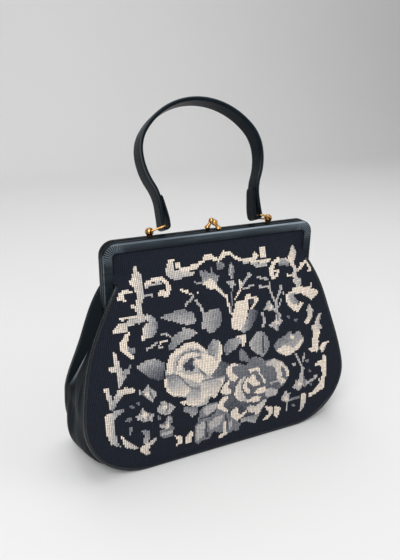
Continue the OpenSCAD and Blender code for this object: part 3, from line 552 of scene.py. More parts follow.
def wool_group(name):
    """Rows of slanting stitches, in units of one stitch."""
    tree, given, out = make_group(name, "Shade", "Height")
    split = add(tree, "ShaderNodeSeparateXYZ", Vector=given)
    slant = maths(tree, "MULTIPLY", split.outputs["X"], STITCH_SLANT)
    across = maths(tree, "PINGPONG", split.outputs["X"], 0.5)
    along = maths(tree, "PINGPONG", maths(tree, "ADD", split.outputs["Y"], slant), 0.5)
    ridge = maths(tree, "MINIMUM", maths(tree, "MULTIPLY", across, STITCH_SIDES), 1.0)
    step = maths(tree, "MINIMUM", maths(tree, "MULTIPLY", along, STITCH_ENDS), 1.0)
    step = maths(tree, "ADD", maths(tree, "MULTIPLY", step, STITCH_END_DEPTH), STITCH_END_REST)
    fuzz = maths(tree, "MULTIPLY", cloudy(tree, given, Scale=3.1, Detail=3.0), STITCH_FUZZ)
    height = maths(tree, "ADD", maths(tree, "MULTIPLY", ridge, step), fuzz)
    # Painted shade in the low places between stitches, painted light on their crests
    fill(tree, out, Height=height, Shade=ramp(tree, height, STITCH_HEIGHTS, STITCH_SHADES))
    return tree


def tarnish_group(name):
    """Dark and dull places on old brass."""
    tree, given, out = make_group(name, "Dark", "Roughness")
    spots = cloudy(tree, given, Scale=260.0, Detail=5.0, Roughness=0.65)
    fill(
        tree, out, Dark=ramp(tree, spots, BRASS_DARK),
        Roughness=ramp(tree, spots, BRASS_NOISE, BRASS_ROUGHNESS),
    )
    return tree


def frame_wear_and_highlight_group(name):
    """Painted highlights and scuffs, in streaks, on the frame's leather: its top edge, its band, its legs and
    the crests of its pleats.
    """
    tree, given, out = make_group(name, "Worn")
    split = add(tree, "ShaderNodeSeparateXYZ", Vector=given)
    x, y, z = (split.outputs[axis] for axis in "XYZ")
    away = maths(tree, "ABSOLUTE", x, 0.0)
    front = ramp(tree, maths(tree, "ABSOLUTE", y, 0.0), SHEEN_WEAR_FRONT)
    stretch = add(tree, "ShaderNodeMapping", Vector=given, Scale=STREAK_SCALE).outputs["Vector"]
    streak = ramp(tree, cloudy(tree, stretch, Scale=1.0, Detail=4.0), STREAK_RANGE, SHEEN_RUB_STREAKS)
    across = maths(tree, "SUBTRACT", away, CORNER_X)
    above = maths(tree, "SUBTRACT", z, CORNER_Z)
    turn = maths(tree, "MULTIPLY", maths(tree, "ARCTAN2", above, across), PLEATS * 2 / math.pi)
    far = maths(
        tree, "ADD", maths(tree, "MULTIPLY", across, across), maths(tree, "MULTIPLY", above, above)
    )
    far = maths(tree, "POWER", far, 0.5)
    edge = (ramp(tree, z, SHEEN_WEAR_EDGE), ramp(tree, x, SHEEN_WEAR_ACROSS, SHEEN_RUB_EDGE), streak, front)
    band = (
        ramp(tree, z, SHEEN_WEAR_BAND, SHEEN_RUB_BAND), ramp(tree, x, SHEEN_WEAR_ACROSS, SHEEN_RUB_ALONG), streak, front,
    )
    leg = (
        ramp(tree, away, SHEEN_WEAR_LEG_EDGE, SHEEN_RUB_LEG), ramp(tree, z, SHEEN_WEAR_LEG_HEIGHT, SHEEN_RUB_LEG_HEIGHT),
        streak, front,
    )
    pleats = (
        ramp(tree, maths(tree, "PINGPONG", turn, 0.5), CREST_RANGE, SHEEN_RUB_PLEAT),
        ramp(tree, across, PLEAT_RISE), ramp(tree, above, PLEAT_RISE),
        ramp(tree, far, PLEAT_START), ramp(tree, far, PLEAT_END, SHEEN_RUB_FADE), front,
    )
    places = [maths(tree, "MULTIPLY", *factors) for factors in (edge, band, leg, pleats)]
    # Painted highlights and scuffs, taken where strongest
    fill(tree, out, Worn=maths(tree, "MAXIMUM", *places))
    return tree


def start_material(name):
    """Material with its tree and Principled shader, or None for the last two if it exists."""
    found = bpy.data.materials.get(name)
    if found:
        return found, None, None
    material = bpy.data.materials.new(name)
    material.use_nodes = True
    return material, material.node_tree, material.node_tree.nodes["Principled BSDF"]


def leather_material(name="Black leather"):
    """Black leather with rubbed tones from noise: painted highlights and scuffs along edges and pleats on the
    frame, and elsewhere painted highlights and painted fold shade as its piece is marked.
    """
    cloth = bpy.context.scene.bag_cloth
    material, tree, shader = start_material(name)
    if tree is None:
        return material
    coords = object_coords(tree)
    grain = group_results(tree, "Leather grain", leather_group, coords)
    tint = mix_colours(tree, grain["Rubbed"], cloth.leather, cloth.worn_leather)
    rough, bump, gloss = grain["Roughness"], LEATHER_BUMP, cloth.leather_gloss
    if name == "Frame leather":
        # Painted highlights and scuffs on the frame's edges, band, legs and pleat crests
        wear_and_highlight = group_results(tree, "Frame wear", frame_wear_and_highlight_group, coords)
        tint = mix_colours(tree, wear_and_highlight["Worn"], tint, cloth.scuff_and_highlight_leather)
    else:
        # Painted highlight and painted fold shade, where the piece marks them; the fold is also made rougher
        worn, shut = (
            add(tree, "ShaderNodeAttribute", {"attribute_name": mark}).outputs["Fac"]
            for mark in ("worn", "shut")
        )
        tint = mix_colours(tree, worn, tint, cloth.leather_highlight)
        tint = mix_colours(tree, shut, tint, cloth.fold_shade_leather)
        rough = maths(tree, "ADD", rough, maths(tree, "MULTIPLY", shut, FOLD_DULLNESS))
    if name == "Piping leather":
        rough, gloss = maths(tree, "MULTIPLY", rough, PIPING_ROUGHNESS), cloth.piping_gloss
    if name == "Gusset leather":
        bump, gloss = GUSSET_BUMP, cloth.gusset_gloss
    normal = bumpy(tree, grain["Height"], bump, LEATHER_BUMP_DEPTH)
    fill(tree, shader, Base_Color=tint, Roughness=rough, Normal=normal, IOR=gloss)
    return material


def wool_material():
    """Wool stitches in the colours of the chart, with painted shade between the stitches and painted light on
    their crests.
    """
    material, tree, shader = start_material("Wool needlepoint")
    if tree is None:
        return material
    stitches = add(tree, "ShaderNodeUVMap", {"uv_map": "stitches"}).outputs["UV"]
    wool = add(tree, "ShaderNodeVertexColor", {"layer_name": "wool"}).outputs["Color"]
    work = group_results(tree, "Wool stitches", wool_group, stitches)
    fill(
        tree, shader, Base_Color=mix_colours(tree, 1.0, wool, work["Shade"], "MULTIPLY"),
        Normal=bumpy(tree, work["Height"], WOOL_BUMP, WOOL_BUMP_DEPTH),
        Roughness=0.92, Specular_IOR_Level=0.2,
    )
    return material


def cloth_material(name, tint, shades=CLOTH_SHADES, **weave):
    """Plain cloth, board or floor."""
    material, tree, shader = start_material(name)
    if tree is None:
        return material
    dark, pale = ([shade * v for v in tint] for shade in shades)
    threads = cloudy(tree, object_coords(tree), **weave)
    fill(tree, shader, Base_Color=mix_colours(tree, threads, dark, pale), Roughness=0.9)
    return material


def metal_material(name, clean, dull):
    """Old polished metal."""
    material, tree, shader = start_material(name)
    if tree is None:
        return material
    spots = group_results(tree, "Tarnish", tarnish_group, object_coords(tree))
    tint = mix_colours(tree, spots["Dark"], clean, dull)
    fill(tree, shader, Base_Color=tint, Roughness=spots["Roughness"], Metallic=1.0)
    return material


# Needlepoint chart: shapes drawn in enlarged views of the photograph, each laid over those before it

RIGHT, DOWN, LEFT = 0, 90, 180

# Left, top and scale of those views
UPPER_LEFT_VIEW = (95.0, 235.0, 12.06)
UPPER_RIGHT_VIEW = (205.0, 225.0, 11.2)
LOWER_LEFT_VIEW = (85.0, 335.0, 10.815)
LOWER_RIGHT_VIEW = (200.0, 330.0, 10.814)
ROSE_VIEW = (150.0, 320.0, 7.0)


def shaded(first, last, way, *pixels):
    """Filled shape that passes from one wool to another in the given direction."""
    return first, last, way, None, np.array(pixels, dtype=float).reshape(-1, 2)


def area(wool, *pixels):
    """Filled shape."""
    return shaded(wool, wool, RIGHT, *pixels)


def line(wool, width, *pixels):
    """Stroke of one width."""
    return wool, wool, RIGHT, width, np.array(pixels, dtype=float).reshape(-1, 2)


def drawn(view, *shapes):
    """Shapes drawn in an enlarged view, as they lie in the photograph."""
    left, top, scale = view
    return tuple(
        (first, last, way, width and width / scale, np.array((left, top)) + points / scale)
        for first, last, way, width, points in shapes
    )


def inside(width, points, spots):
    """Which spots a stroke or a filled shape covers."""
    if width is not None:
        reach = np.full(len(spots), np.inf)
        ends = points[1:] if len(points) > 1 else points
        for a, b in zip(points, ends):
            run = b - a
            t = np.clip(((spots - a) @ run) / max(run @ run, WELD), 0, 1)
            reach = np.minimum(reach, np.linalg.norm(spots - a - t[:, None] * run, axis=1))
        return reach <= width / 2
    hit = np.zeros(len(spots), dtype=bool)
    for a, b in zip(points, np.roll(points, -1, axis=0)):
        if a[1] == b[1]:
            continue
        cross = (a[1] > spots[:, 1]) != (b[1] > spots[:, 1])
        hit ^= cross & (spots[:, 0] < (b[0] - a[0]) * (spots[:, 1] - a[1]) / (b[1] - a[1]) + a[0])
    return hit


UPPER_LEFT_SCROLLS = drawn(
    UPPER_LEFT_VIEW,
    shaded(C, L, RIGHT, 472, 362, 500, 400, 520, 440, 548, 470, 560, 540, 568, 600, 590, 640, 580, 700,
           590, 760, 560, 860, 575, 930, 610, 1000, 600, 1055, 560, 1040, 510, 1000, 495, 920, 470, 880,
           430, 895, 425, 850, 455, 830, 490, 850, 500, 780, 490, 700, 480, 640, 440, 620, 415, 590, 412, 545,
           445, 530, 450, 470),
    line(C, 46, 610, 590, 650, 570, 710, 540, 790, 520, 840, 555, 885, 610, 890, 660, 870, 710),
    area(C, 758, 745, 765, 705, 795, 665, 835, 665, 845, 690, 880, 690, 900, 735, 800, 745),
    line(L, 26, 605, 640, 640, 610, 700, 590, 770, 575, 800, 580),
    line(C, 45, 430, 690, 380, 690, 330, 700, 300, 730, 285, 770),
    area(C, 265, 780, 280, 740, 330, 715, 360, 730, 360, 775, 385, 790, 375, 815, 340, 815, 335, 790,
         280, 800),
    line(L, 20, 600, 725, 650, 720, 690, 720, 695, 745),
    line(C, 28, 305, 1005, 320, 1020, 380, 1010, 500, 985),
    shaded(C, L, 315, 390, 1045, 420, 1000, 520, 1000, 560, 1040, 540, 1070, 480, 1075, 450, 1100, 400, 1110,
           395, 1160, 240, 1195, 215, 1185, 225, 1145, 260, 1090, 330, 1060),
    shaded(C, M, RIGHT, 590, 985, 620, 960, 660, 965, 720, 1010, 750, 1060, 755, 1130, 720, 1200, 690, 1235,
           560, 1275, 550, 1250, 580, 1200, 580, 1130, 640, 1050, 600, 1010),
    area(C, 415, 1145, 425, 1190, 400, 1260, 385, 1387, 290, 1387, 300, 1310, 340, 1260, 350, 1215,
         390, 1190),
    shaded(C, L, DOWN, 885, 300, 920, 285, 955, 290, 945, 330, 940, 380, 960, 420, 1010, 430, 1080, 435,
           1150, 440, 1230, 430, 1180, 480, 1110, 500, 1040, 525, 960, 540, 900, 515, 865, 490, 850, 430,
           865, 370),
    area(C, 975, 345, 1015, 335, 1025, 375, 1035, 390, 1080, 390, 1150, 380, 1165, 345, 1240, 335, 1265, 305,
         1300, 300, 1310, 250, 1340, 230, 1400, 230, 1435, 250, 1445, 285, 1490, 280, 1515, 230, 1540, 195,
         1568, 190, 1568, 270, 1530, 290, 1500, 320, 1440, 310, 1400, 285, 1340, 300, 1290, 340, 1250, 375,
         1220, 410, 1150, 425, 1040, 440, 1010, 410, 975, 400),
    area(M, 1470, 330, 1530, 320, 1550, 360, 1520, 400, 1480, 410, 1460, 370),
)
LEFT_SIDE_SCROLLS = drawn(
    LOWER_LEFT_VIEW,
    area(C, 430, 0, 470, 0, 465, 40, 450, 80, 450, 150, 480, 200, 540, 240, 520, 265, 470, 245, 420, 200,
         380, 160, 370, 100, 390, 70, 420, 40),
    shaded(L, M, DOWN, 455, 60, 470, 130, 540, 150, 540, 200, 490, 200, 460, 160),
    shaded(C, L, RIGHT, 310, 190, 350, 220, 350, 270, 380, 300, 390, 360, 415, 400, 410, 480, 390, 560,
           370, 575, 350, 530, 355, 480, 345, 430, 330, 400, 270, 400, 255, 380, 270, 350, 310, 345, 325, 330,
           300, 280, 300, 220),
    shaded(M, L, DOWN, 480, 300, 495, 330, 490, 400, 450, 440, 430, 490, 400, 530, 410, 440, 430, 380,
           470, 360),
    shaded(C, L, RIGHT, 205, 580, 250, 570, 260, 620, 280, 660, 290, 740, 290, 800, 265, 830, 250, 760,
           240, 680, 210, 620),
    shaded(C, M, DOWN, 350, 590, 370, 600, 430, 575, 510, 565, 540, 595, 530, 630, 460, 630, 400, 660,
           370, 710, 340, 760, 300, 830, 280, 810, 300, 740, 310, 660, 345, 640),
    shaded(C, M, RIGHT, 430, 800, 430, 830, 380, 860, 330, 900, 310, 960, 320, 1030, 340, 1090, 350, 1150,
           380, 1180, 390, 1220, 340, 1200, 290, 1190, 260, 1140, 230, 1070, 215, 1000, 210, 900, 240, 860,
           290, 850, 340, 810, 400, 800),
    shaded(C, L, RIGHT, 385, 1085, 405, 1085, 420, 1120, 470, 1150, 530, 1190, 580, 1210, 570, 1240,
           510, 1230, 440, 1220, 410, 1160),
    shaded(M, L, DOWN, 610, 1045, 660, 1025, 700, 1040, 705, 1120, 670, 1180, 640, 1170, 640, 1080),
    shaded(C, L, RIGHT, 600, 1230, 640, 1190, 690, 1160, 730, 1130, 760, 1100, 785, 1110, 760, 1160,
           710, 1200, 690, 1250, 710, 1280, 660, 1305, 610, 1270),
    area(C, 975, 1090, 1060, 1090, 1050, 1165, 975, 1210, 1010, 1145),
    area(C, 1085, 1105, 1155, 1030, 1170, 1060, 1150, 1155, 1090, 1170),
)
UPPER_RIGHT_SCROLLS = drawn(
    UPPER_RIGHT_VIEW,
    area(C, 0, 330, 70, 325, 105, 365, 160, 370, 185, 300, 270, 290, 330, 340, 390, 370, 530, 370, 600, 395,
         750, 360, 740, 395, 690, 420, 560, 420, 430, 410, 380, 400, 320, 370, 280, 340, 230, 345, 190, 370,
         140, 410, 100, 400, 0, 380),
    area(L, 430, 412, 560, 425, 700, 420, 690, 455, 560, 470, 545, 440, 430, 430),
    area(C, 540, 305, 575, 305, 595, 345, 590, 380, 540, 370),
    area(C, 615, 250, 665, 245, 680, 360, 620, 360),
    area(M, 120, 420, 200, 410, 215, 460, 180, 505, 140, 480),
    shaded(C, M, RIGHT, 290, 410, 305, 440, 330, 500, 330, 540, 310, 560, 325, 585, 310, 600, 285, 590,
           260, 540, 255, 510, 270, 480, 280, 450),
    line(C, 44, 930, 400, 870, 390, 810, 390, 765, 430, 745, 490, 750, 550, 770, 590),
    line(C, 32, 770, 580, 810, 560, 815, 510, 785, 510),
    shaded(L, M, DOWN, 830, 375, 900, 370, 935, 420, 930, 460, 880, 450, 820, 450, 830, 410),
    shaded(C, L, RIGHT, 980, 215, 1000, 260, 1020, 290, 1015, 340, 1000, 400, 1010, 450, 1020, 480, 1070, 490,
           1030, 530, 1020, 580, 1070, 590, 1075, 660, 1060, 690, 1020, 700, 1010, 660, 985, 630, 995, 590,
           975, 570, 920, 570, 920, 550, 985, 545, 990, 480, 950, 450, 940, 400, 930, 340, 950, 310,
           960, 260),
    line(C, 34, 1060, 490, 1080, 440, 1120, 410, 1150, 430, 1175, 490, 1165, 510),
    area(C, 1020, 700, 1090, 690, 1130, 690, 1170, 690, 1185, 650, 1200, 630, 1195, 680, 1180, 720, 1250, 715,
         1270, 745, 1240, 790, 1190, 840, 1160, 810, 1110, 790, 1080, 760, 1000, 780, 980, 830, 1000, 860,
         1040, 890, 1060, 860, 1100, 870, 1080, 920, 1040, 970, 990, 960, 940, 910, 910, 850, 905, 790,
         930, 760, 970, 740, 985, 710),
    shaded(L, M, RIGHT, 930, 790, 960, 770, 1010, 760, 1000, 800, 1030, 830, 1060, 860, 1030, 890, 990, 890,
           950, 850, 930, 820),
    shaded(L, C, DOWN, 1170, 870, 1190, 930, 1210, 950, 1200, 1030, 1170, 1090, 1140, 1110, 1110, 1085,
           1140, 1050, 1150, 1000, 1140, 950),
    shaded(C, L, RIGHT, 1280, 985, 1300, 990, 1290, 1040, 1275, 1100, 1300, 1120, 1310, 1150, 1275, 1180,
           1265, 1240, 1275, 1300, 1270, 1360, 1225, 1360, 1220, 1250, 1205, 1180, 1190, 1120, 1230, 1110,
           1245, 1050, 1260, 1020),
)
RIGHT_SIDE_SCROLLS = drawn(
    LOWER_RIGHT_VIEW,
    area(C, 1155, 200, 1210, 180, 1215, 100, 1240, 0, 1300, 0, 1275, 120, 1280, 190, 1270, 230, 1215, 240,
         1190, 215),
    area(C, 1395, 110, 1390, 130, 1355, 160, 1350, 210, 1320, 240, 1295, 200, 1300, 170, 1330, 130),
    area(C, 1350, 260, 1365, 300, 1360, 350, 1365, 450, 1350, 550, 1335, 630, 1300, 650, 1250, 690, 1180, 725,
         1170, 690, 1220, 660, 1260, 610, 1290, 570, 1285, 520, 1310, 560, 1320, 460, 1310, 390, 1270, 375,
         1245, 390, 1240, 370, 1280, 340, 1320, 330, 1320, 280),
    shaded(C, L, DOWN, 1090, 690, 1120, 680, 1150, 690, 1140, 770, 1120, 840, 1080, 885, 1070, 870, 1090, 820,
           1095, 750),
    area(C, 695, 830, 760, 820, 790, 830, 780, 910, 750, 940, 720, 970, 680, 975, 690, 950, 730, 920,
         750, 890, 720, 860),
    area(C, 805, 820, 860, 830, 880, 840, 850, 900, 840, 945, 805, 935, 800, 880),
)
CARNATION = drawn(
    UPPER_LEFT_VIEW,
    shaded(M, L, DOWN, 1200, 540, 1215, 575, 1280, 575, 1290, 520, 1260, 460, 1250, 440, 1285, 420, 1300, 450,
           1330, 410, 1345, 450, 1390, 460, 1400, 395, 1420, 400, 1425, 450, 1470, 480, 1500, 500, 1480, 540,
           1465, 590, 1500, 630, 1540, 680, 1510, 720, 1490, 680, 1440, 650, 1360, 650, 1320, 600, 1210, 590),
    area(C, 1290, 590, 1330, 550, 1400, 530, 1450, 560, 1470, 620, 1440, 650, 1370, 650, 1330, 610),
    line(C, 28, 1471, 640, 1507, 688, 1585, 736, 1604, 820, 1640, 940), line(C, 30, 1030, 663, 1121, 687),
    line(L, 30, 1190, 736, 1097, 844), line(L, 30, 1214, 784, 1260, 850), line(L, 26, 1278, 856, 1295, 928),
    line(C, 28, 1150, 705), line(C, 28, 1242, 687),
)
UPPER_LEAVES = drawn(
    UPPER_LEFT_VIEW,
    shaded(M, L, DOWN, 780, 1010, 830, 965, 930, 945, 960, 915, 1060, 890, 1110, 920, 1170, 930, 1200, 960,
           1220, 1030, 1210, 1070, 1170, 1085, 1100, 1085, 1000, 1060, 930, 1040, 860, 1020),
    shaded(L, M, RIGHT, 1290, 940, 1350, 925, 1430, 885, 1480, 880, 1520, 920, 1535, 1000, 1510, 1090,
           1450, 1150, 1410, 1195, 1370, 1170, 1340, 1130, 1280, 1130, 1290, 1080, 1300, 1010),
    shaded(L, M, 135, 1060, 1125, 1130, 1120, 1215, 1150, 1230, 1190, 1190, 1210, 1140, 1260, 1060, 1280,
           1000, 1330, 940, 1387, 880, 1387, 890, 1340, 930, 1290, 920, 1240, 960, 1210, 1040, 1160),
    line(L, 24, 804, 1206, 856, 1194, 910, 1225), line(L, 24, 740, 1302, 687, 1350, 627, 1380),
    line(C, 24, 790, 1302, 868, 1278), line(L, 24, 772, 1350, 808, 1350),
)
LEFT_ROSE = drawn(
    LOWER_LEFT_VIEW,
    shaded(L, D, 60, 545, 350, 600, 310, 680, 270, 760, 260, 830, 290, 870, 310, 870, 350, 850, 400, 860, 470,
           800, 495, 740, 480, 690, 450, 640, 420, 590, 380),
    area(C, 1010, 720, 1100, 700, 1110, 730, 1080, 760),
    shaded(M, L, DOWN, 1060, 790, 1150, 770, 1230, 790, 1220, 840, 1150, 890, 1130, 850, 1060, 830),
) + drawn(
    ROSE_VIEW,
    shaded(M, D, RIGHT, 440, 330, 500, 290, 550, 300, 560, 340, 540, 380, 600, 400, 560, 440, 520, 430,
           440, 440, 400, 420),
    area(L, 110, 370, 120, 310, 140, 250, 190, 200, 250, 165, 290, 148, 345, 165, 385, 205, 400, 215,
         420, 165, 455, 140, 490, 160, 503, 215, 490, 285, 465, 335, 430, 375, 420, 400, 520, 395, 530, 410,
         500, 470, 455, 540, 420, 545, 400, 590, 340, 605, 270, 600, 245, 580, 265, 545, 230, 540, 170, 535,
         125, 500, 105, 450, 105, 400),
    area(C, 115, 370, 120, 310, 140, 250, 190, 200, 250, 165, 290, 148, 345, 165, 385, 205, 395, 230,
         350, 205, 300, 190, 240, 210, 200, 240, 170, 280, 160, 330, 170, 365, 140, 380),
    line(M, 14, 190, 330, 195, 285, 230, 240, 290, 215, 345, 218),
    line(C, 30, 205, 345, 210, 300, 240, 262, 290, 240, 330, 250, 355, 290, 350, 330),
    area(C, 370, 235, 440, 250, 468, 300, 425, 370, 372, 382, 350, 335, 372, 290),
    area(C, 170, 365, 215, 365, 255, 385, 330, 372, 365, 385, 395, 425, 340, 440, 300, 425, 250, 410,
         200, 395),
    area(D, 228, 322, 262, 288, 290, 262, 306, 280, 300, 308, 322, 330, 296, 356, 250, 350),
    area(C, 308, 285, 335, 280, 345, 310, 322, 318), area(M, 320, 258, 348, 252, 352, 272, 330, 278),
    line(M, 14, 348, 345, 370, 372, 392, 385),
    shaded(L, M, DOWN, 400, 210, 425, 170, 455, 150, 475, 175, 470, 230, 440, 255, 410, 245),
    line(C, 20, 455, 145, 488, 165, 495, 215, 485, 280, 460, 330, 430, 372),
    shaded(M, C, 70, 110, 395, 160, 385, 205, 400, 245, 440, 275, 475, 270, 505, 230, 530, 170, 532, 125, 500,
           107, 450),
    line(C, 18, 112, 415, 110, 455, 130, 500, 175, 525, 235, 522, 265, 505),
    shaded(M, C, DOWN, 275, 475, 330, 470, 400, 445, 412, 520, 385, 570, 330, 600, 265, 598, 248, 580,
           285, 540, 300, 500),
    line(M, 14, 115, 392, 170, 382, 210, 400, 250, 440, 280, 470, 350, 485),
    area(C, 425, 455, 470, 430, 520, 405, 500, 470, 455, 535, 425, 525),
    line(M, 14, 365, 432, 430, 415, 520, 392),
)
RIGHT_ROSE = drawn(
    LOWER_RIGHT_VIEW,
    shaded(M, L, RIGHT, 80, 190, 150, 95, 205, 120, 215, 180, 190, 240, 140, 270, 90, 240),
    area(C, 215, 170, 240, 250, 215, 330, 165, 400, 190, 320),
    shaded(L, C, DOWN, 0, 560, 120, 550, 240, 540, 220, 620, 180, 720, 140, 740, 120, 690, 60, 740, 0, 780),
    shaded(M, D, DOWN, 300, 400, 350, 360, 420, 360, 500, 380, 560, 300, 640, 290, 700, 330, 800, 310,
           880, 330, 950, 390, 965, 480, 930, 560, 890, 610, 830, 640, 800, 700, 730, 740, 690, 830, 640, 920,
           560, 960, 450, 960, 400, 990, 330, 930, 290, 850, 210, 850, 200, 790, 250, 720, 230, 650, 290, 560,
           290, 480),
    area(C, 290, 410, 340, 370, 410, 360, 410, 385, 350, 400, 340, 450, 380, 480, 420, 510, 380, 555,
         340, 550, 300, 500, 285, 450),
    area(C, 215, 680, 240, 620, 270, 580, 310, 545, 320, 580, 290, 620, 340, 640, 340, 680, 280, 700),
    area(C, 200, 800, 220, 750, 280, 710, 310, 730, 270, 780, 250, 830, 310, 870, 300, 890, 240, 870,
         195, 850),
    area(C, 335, 880, 390, 840, 420, 860, 410, 890, 430, 910, 480, 890, 510, 850, 500, 900, 430, 960,
         400, 985, 340, 930),
    shaded(L, C, DOWN, 500, 850, 540, 810, 600, 820, 690, 750, 730, 740, 700, 800, 660, 860, 620, 930,
           590, 890, 530, 890),
    area(C, 500, 770, 560, 730, 620, 710, 660, 720, 640, 760, 560, 780, 520, 785),
    shaded(L, C, LEFT, 370, 700, 390, 620, 430, 540, 480, 500, 500, 520, 450, 580, 450, 640, 480, 700,
           510, 750, 500, 775, 430, 770, 390, 730),
    area(C, 460, 620, 480, 560, 520, 510, 540, 530, 510, 580, 520, 630, 550, 660, 540, 695, 490, 680),
    area(C, 520, 545, 560, 480, 600, 490, 610, 530, 640, 560, 660, 570, 640, 600, 590, 610, 545, 590),
    area(C, 530, 430, 570, 410, 640, 405, 660, 480, 690, 520, 720, 540, 700, 590, 670, 520, 640, 470,
         620, 430, 570, 440, 540, 470),
    area(C, 580, 680, 620, 630, 700, 610, 720, 640, 700, 680, 620, 690),
    shaded(L, C, RIGHT, 700, 380, 750, 330, 820, 310, 830, 330, 880, 340, 950, 410, 965, 490, 940, 500,
           920, 420, 880, 380, 870, 420, 890, 470, 880, 510, 930, 540, 880, 600, 830, 510, 820, 430, 790, 380,
           740, 390),
    area(L, 700, 660, 760, 620, 840, 640, 830, 690, 770, 720, 700, 720),
    line(L, 22, 770, 575, 830, 550, 880, 545),
    shaded(M, L, DOWN, 430, 960, 560, 930, 640, 900, 620, 960, 590, 1010, 500, 980, 450, 1000),
    shaded(M, L, RIGHT, 265, 170, 310, 110, 400, 70, 490, 55, 495, 140, 470, 190, 450, 150, 430, 140,
           400, 200, 330, 240, 290, 280, 260, 230),
    area(C, 400, 70, 490, 55, 495, 140, 470, 190, 450, 150, 445, 100),
    area(M, 440, 200, 480, 220, 520, 280, 540, 340, 480, 340, 430, 330, 420, 260),
    shaded(L, M, RIGHT, 545, 110, 600, 40, 640, 10, 690, 20, 730, 70, 755, 150, 740, 210, 700, 270, 680, 300,
           640, 270, 600, 250, 560, 210, 535, 160),
    line(D, 14, 680, 60, 682, 240),
)
BUDS = (
    *drawn(
        UPPER_RIGHT_VIEW,
        area(C, 345, 870, 400, 845, 440, 830, 460, 780, 510, 775, 510, 800, 490, 830, 490, 900, 480, 960,
             470, 1040, 440, 1110, 400, 1180, 300, 1160, 295, 1090, 310, 1000, 330, 930),
        area(C, 510, 810, 580, 790, 600, 850, 560, 910, 520, 950, 500, 940, 540, 900, 550, 860, 530, 830,
             495, 830),
        area(D, 495, 830, 540, 830, 555, 860, 535, 890, 500, 880),
        shaded(L, D, RIGHT, 490, 960, 540, 940, 590, 960, 585, 1020, 545, 1080, 530, 1140, 490, 1180,
               430, 1210, 400, 1180, 440, 1110, 475, 1040),
    ),
    *drawn(
        LOWER_RIGHT_VIEW,
        shaded(M, L, 45, 795, 170, 850, 100, 920, 60, 960, 20, 980, 0, 1000, 40, 1050, 20, 1080, 10, 1100, 60,
               1130, 95, 1100, 150, 1070, 200, 1000, 250, 940, 285, 880, 260, 820, 220),
        area(C, 830, 220, 900, 170, 960, 170, 1010, 200, 1060, 150, 1110, 80, 1125, 95, 1080, 180, 1000, 250,
             940, 280, 880, 260),
        line(C, 46, 995, 75),
    ),
)
SMALL_FLOWERS = (
    area(L, 147.9, 384.9, 150.6, 387.7, 153.4, 389.6, 156.2, 392.3, 156.2, 395.1, 153.4, 398.8, 153, 401.6,
         148.8, 398.8, 145.1, 397.9, 143.3, 395.1, 139.6, 394.2, 137.7, 390.5, 141.4, 390.5, 145.1, 389.6),
    line(M, 2, 150, 388, 152, 398), line(M, 2, 141, 392, 146, 397), line(C, 4.6, 147, 394.6),
    line(D, 2.4, 151, 393.4),
    area(L, 156.2, 409.9, 159, 406.2, 161.7, 401.6, 165.4, 401.6, 170.1, 403.4, 175.2, 407.1, 172.8, 409.9,
         170.1, 413.6, 164.5, 414.5, 160.8, 413.6),
    line(M, 1.8, 161, 405, 164, 408), line(M, 1.8, 168, 404, 167, 413), line(C, 4.8, 164.6, 407.6),
    area(L, 135.9, 416.4, 140.5, 413.6, 142.8, 407.6, 145.1, 410.8, 149.7, 413.6, 155.3, 414.1, 153.4, 417.3,
         152.5, 421, 146, 421, 144.2, 423.8, 141.4, 420.1, 136.8, 420.1),
    line(M, 1.8, 141, 411, 144, 421), line(M, 1.8, 150, 414, 148, 420), line(C, 5, 144.6, 415.6),
    area(M, 159, 423.8, 164.5, 422.8, 167.3, 416.4, 171, 415.4, 172.8, 420.1, 171, 424.7, 175.6, 427.5,
         172.8, 431.2, 172.8, 435.8, 168.2, 437.6, 161.7, 437.6, 159, 435.8, 160.4, 431.2, 164.5, 428.4),
    line(L, 3, 169, 418, 168, 424), line(L, 3, 161, 426, 165, 427), line(L, 4, 164, 434, 171, 432),
    line(C, 4.4, 167.6, 426),
    area(L, 272.9, 322.3, 275.5, 319.6, 276.4, 314.3, 279.1, 312.5, 280.9, 313.4, 280.4, 318.8, 282.7, 321.4,
         280.9, 324.1, 279.1, 325.9, 276.4, 331.3, 273.8, 328.6, 269.3, 325),
    line(M, 1.8, 278, 314, 278, 330), line(C, 4.2, 276.8, 322),
    area(L, 295.2, 379, 298, 380.9, 300.8, 374.4, 303.6, 373.5, 304.5, 379, 308.2, 380.9, 313.7, 377.2,
         314.7, 373.5, 317.4, 375.3, 315.6, 379, 309.1, 382.7, 305.4, 386.4, 301.7, 385.5, 299.9, 391,
         296.2, 389.2, 292.5, 387.3, 295.2, 383.6),
    line(M, 2, 304, 377, 305, 386), line(C, 4.4, 299.6, 383.8), line(L, 1.8, 296, 354, 302, 367),
    line(L, 1.8, 304.5, 354, 302.7, 361), line(L, 3, 294, 364), line(M, 3, 307, 360.5), line(M, 3, 310, 371),
    line(L, 2.6, 303, 368, 301, 375), line(M, 3, 311, 384),
    area(L, 283.2, 394.7, 286, 389.2, 287.4, 393.8, 290.6, 392.9, 288.8, 398.4, 292.5, 400.3, 287.9, 402.1,
         284.1, 401.2, 280.5, 399.4),
    line(C, 4.2, 286, 398.6), line(M, 2.4, 292, 399, 299, 397.5), line(M, 3, 293.4, 405),
    line(L, 1.8, 286.6, 403, 286.4, 409.6), line(M, 4, 132, 407), line(M, 4, 138.7, 403.5),
    area(M, 123.8, 421.5, 128.5, 417.8, 132.2, 417.8, 130.3, 422),
    area(M, 129.8, 427.5, 133, 426.5, 132.6, 431.2, 130.3, 435.3), line(M, 4, 159, 418),
)
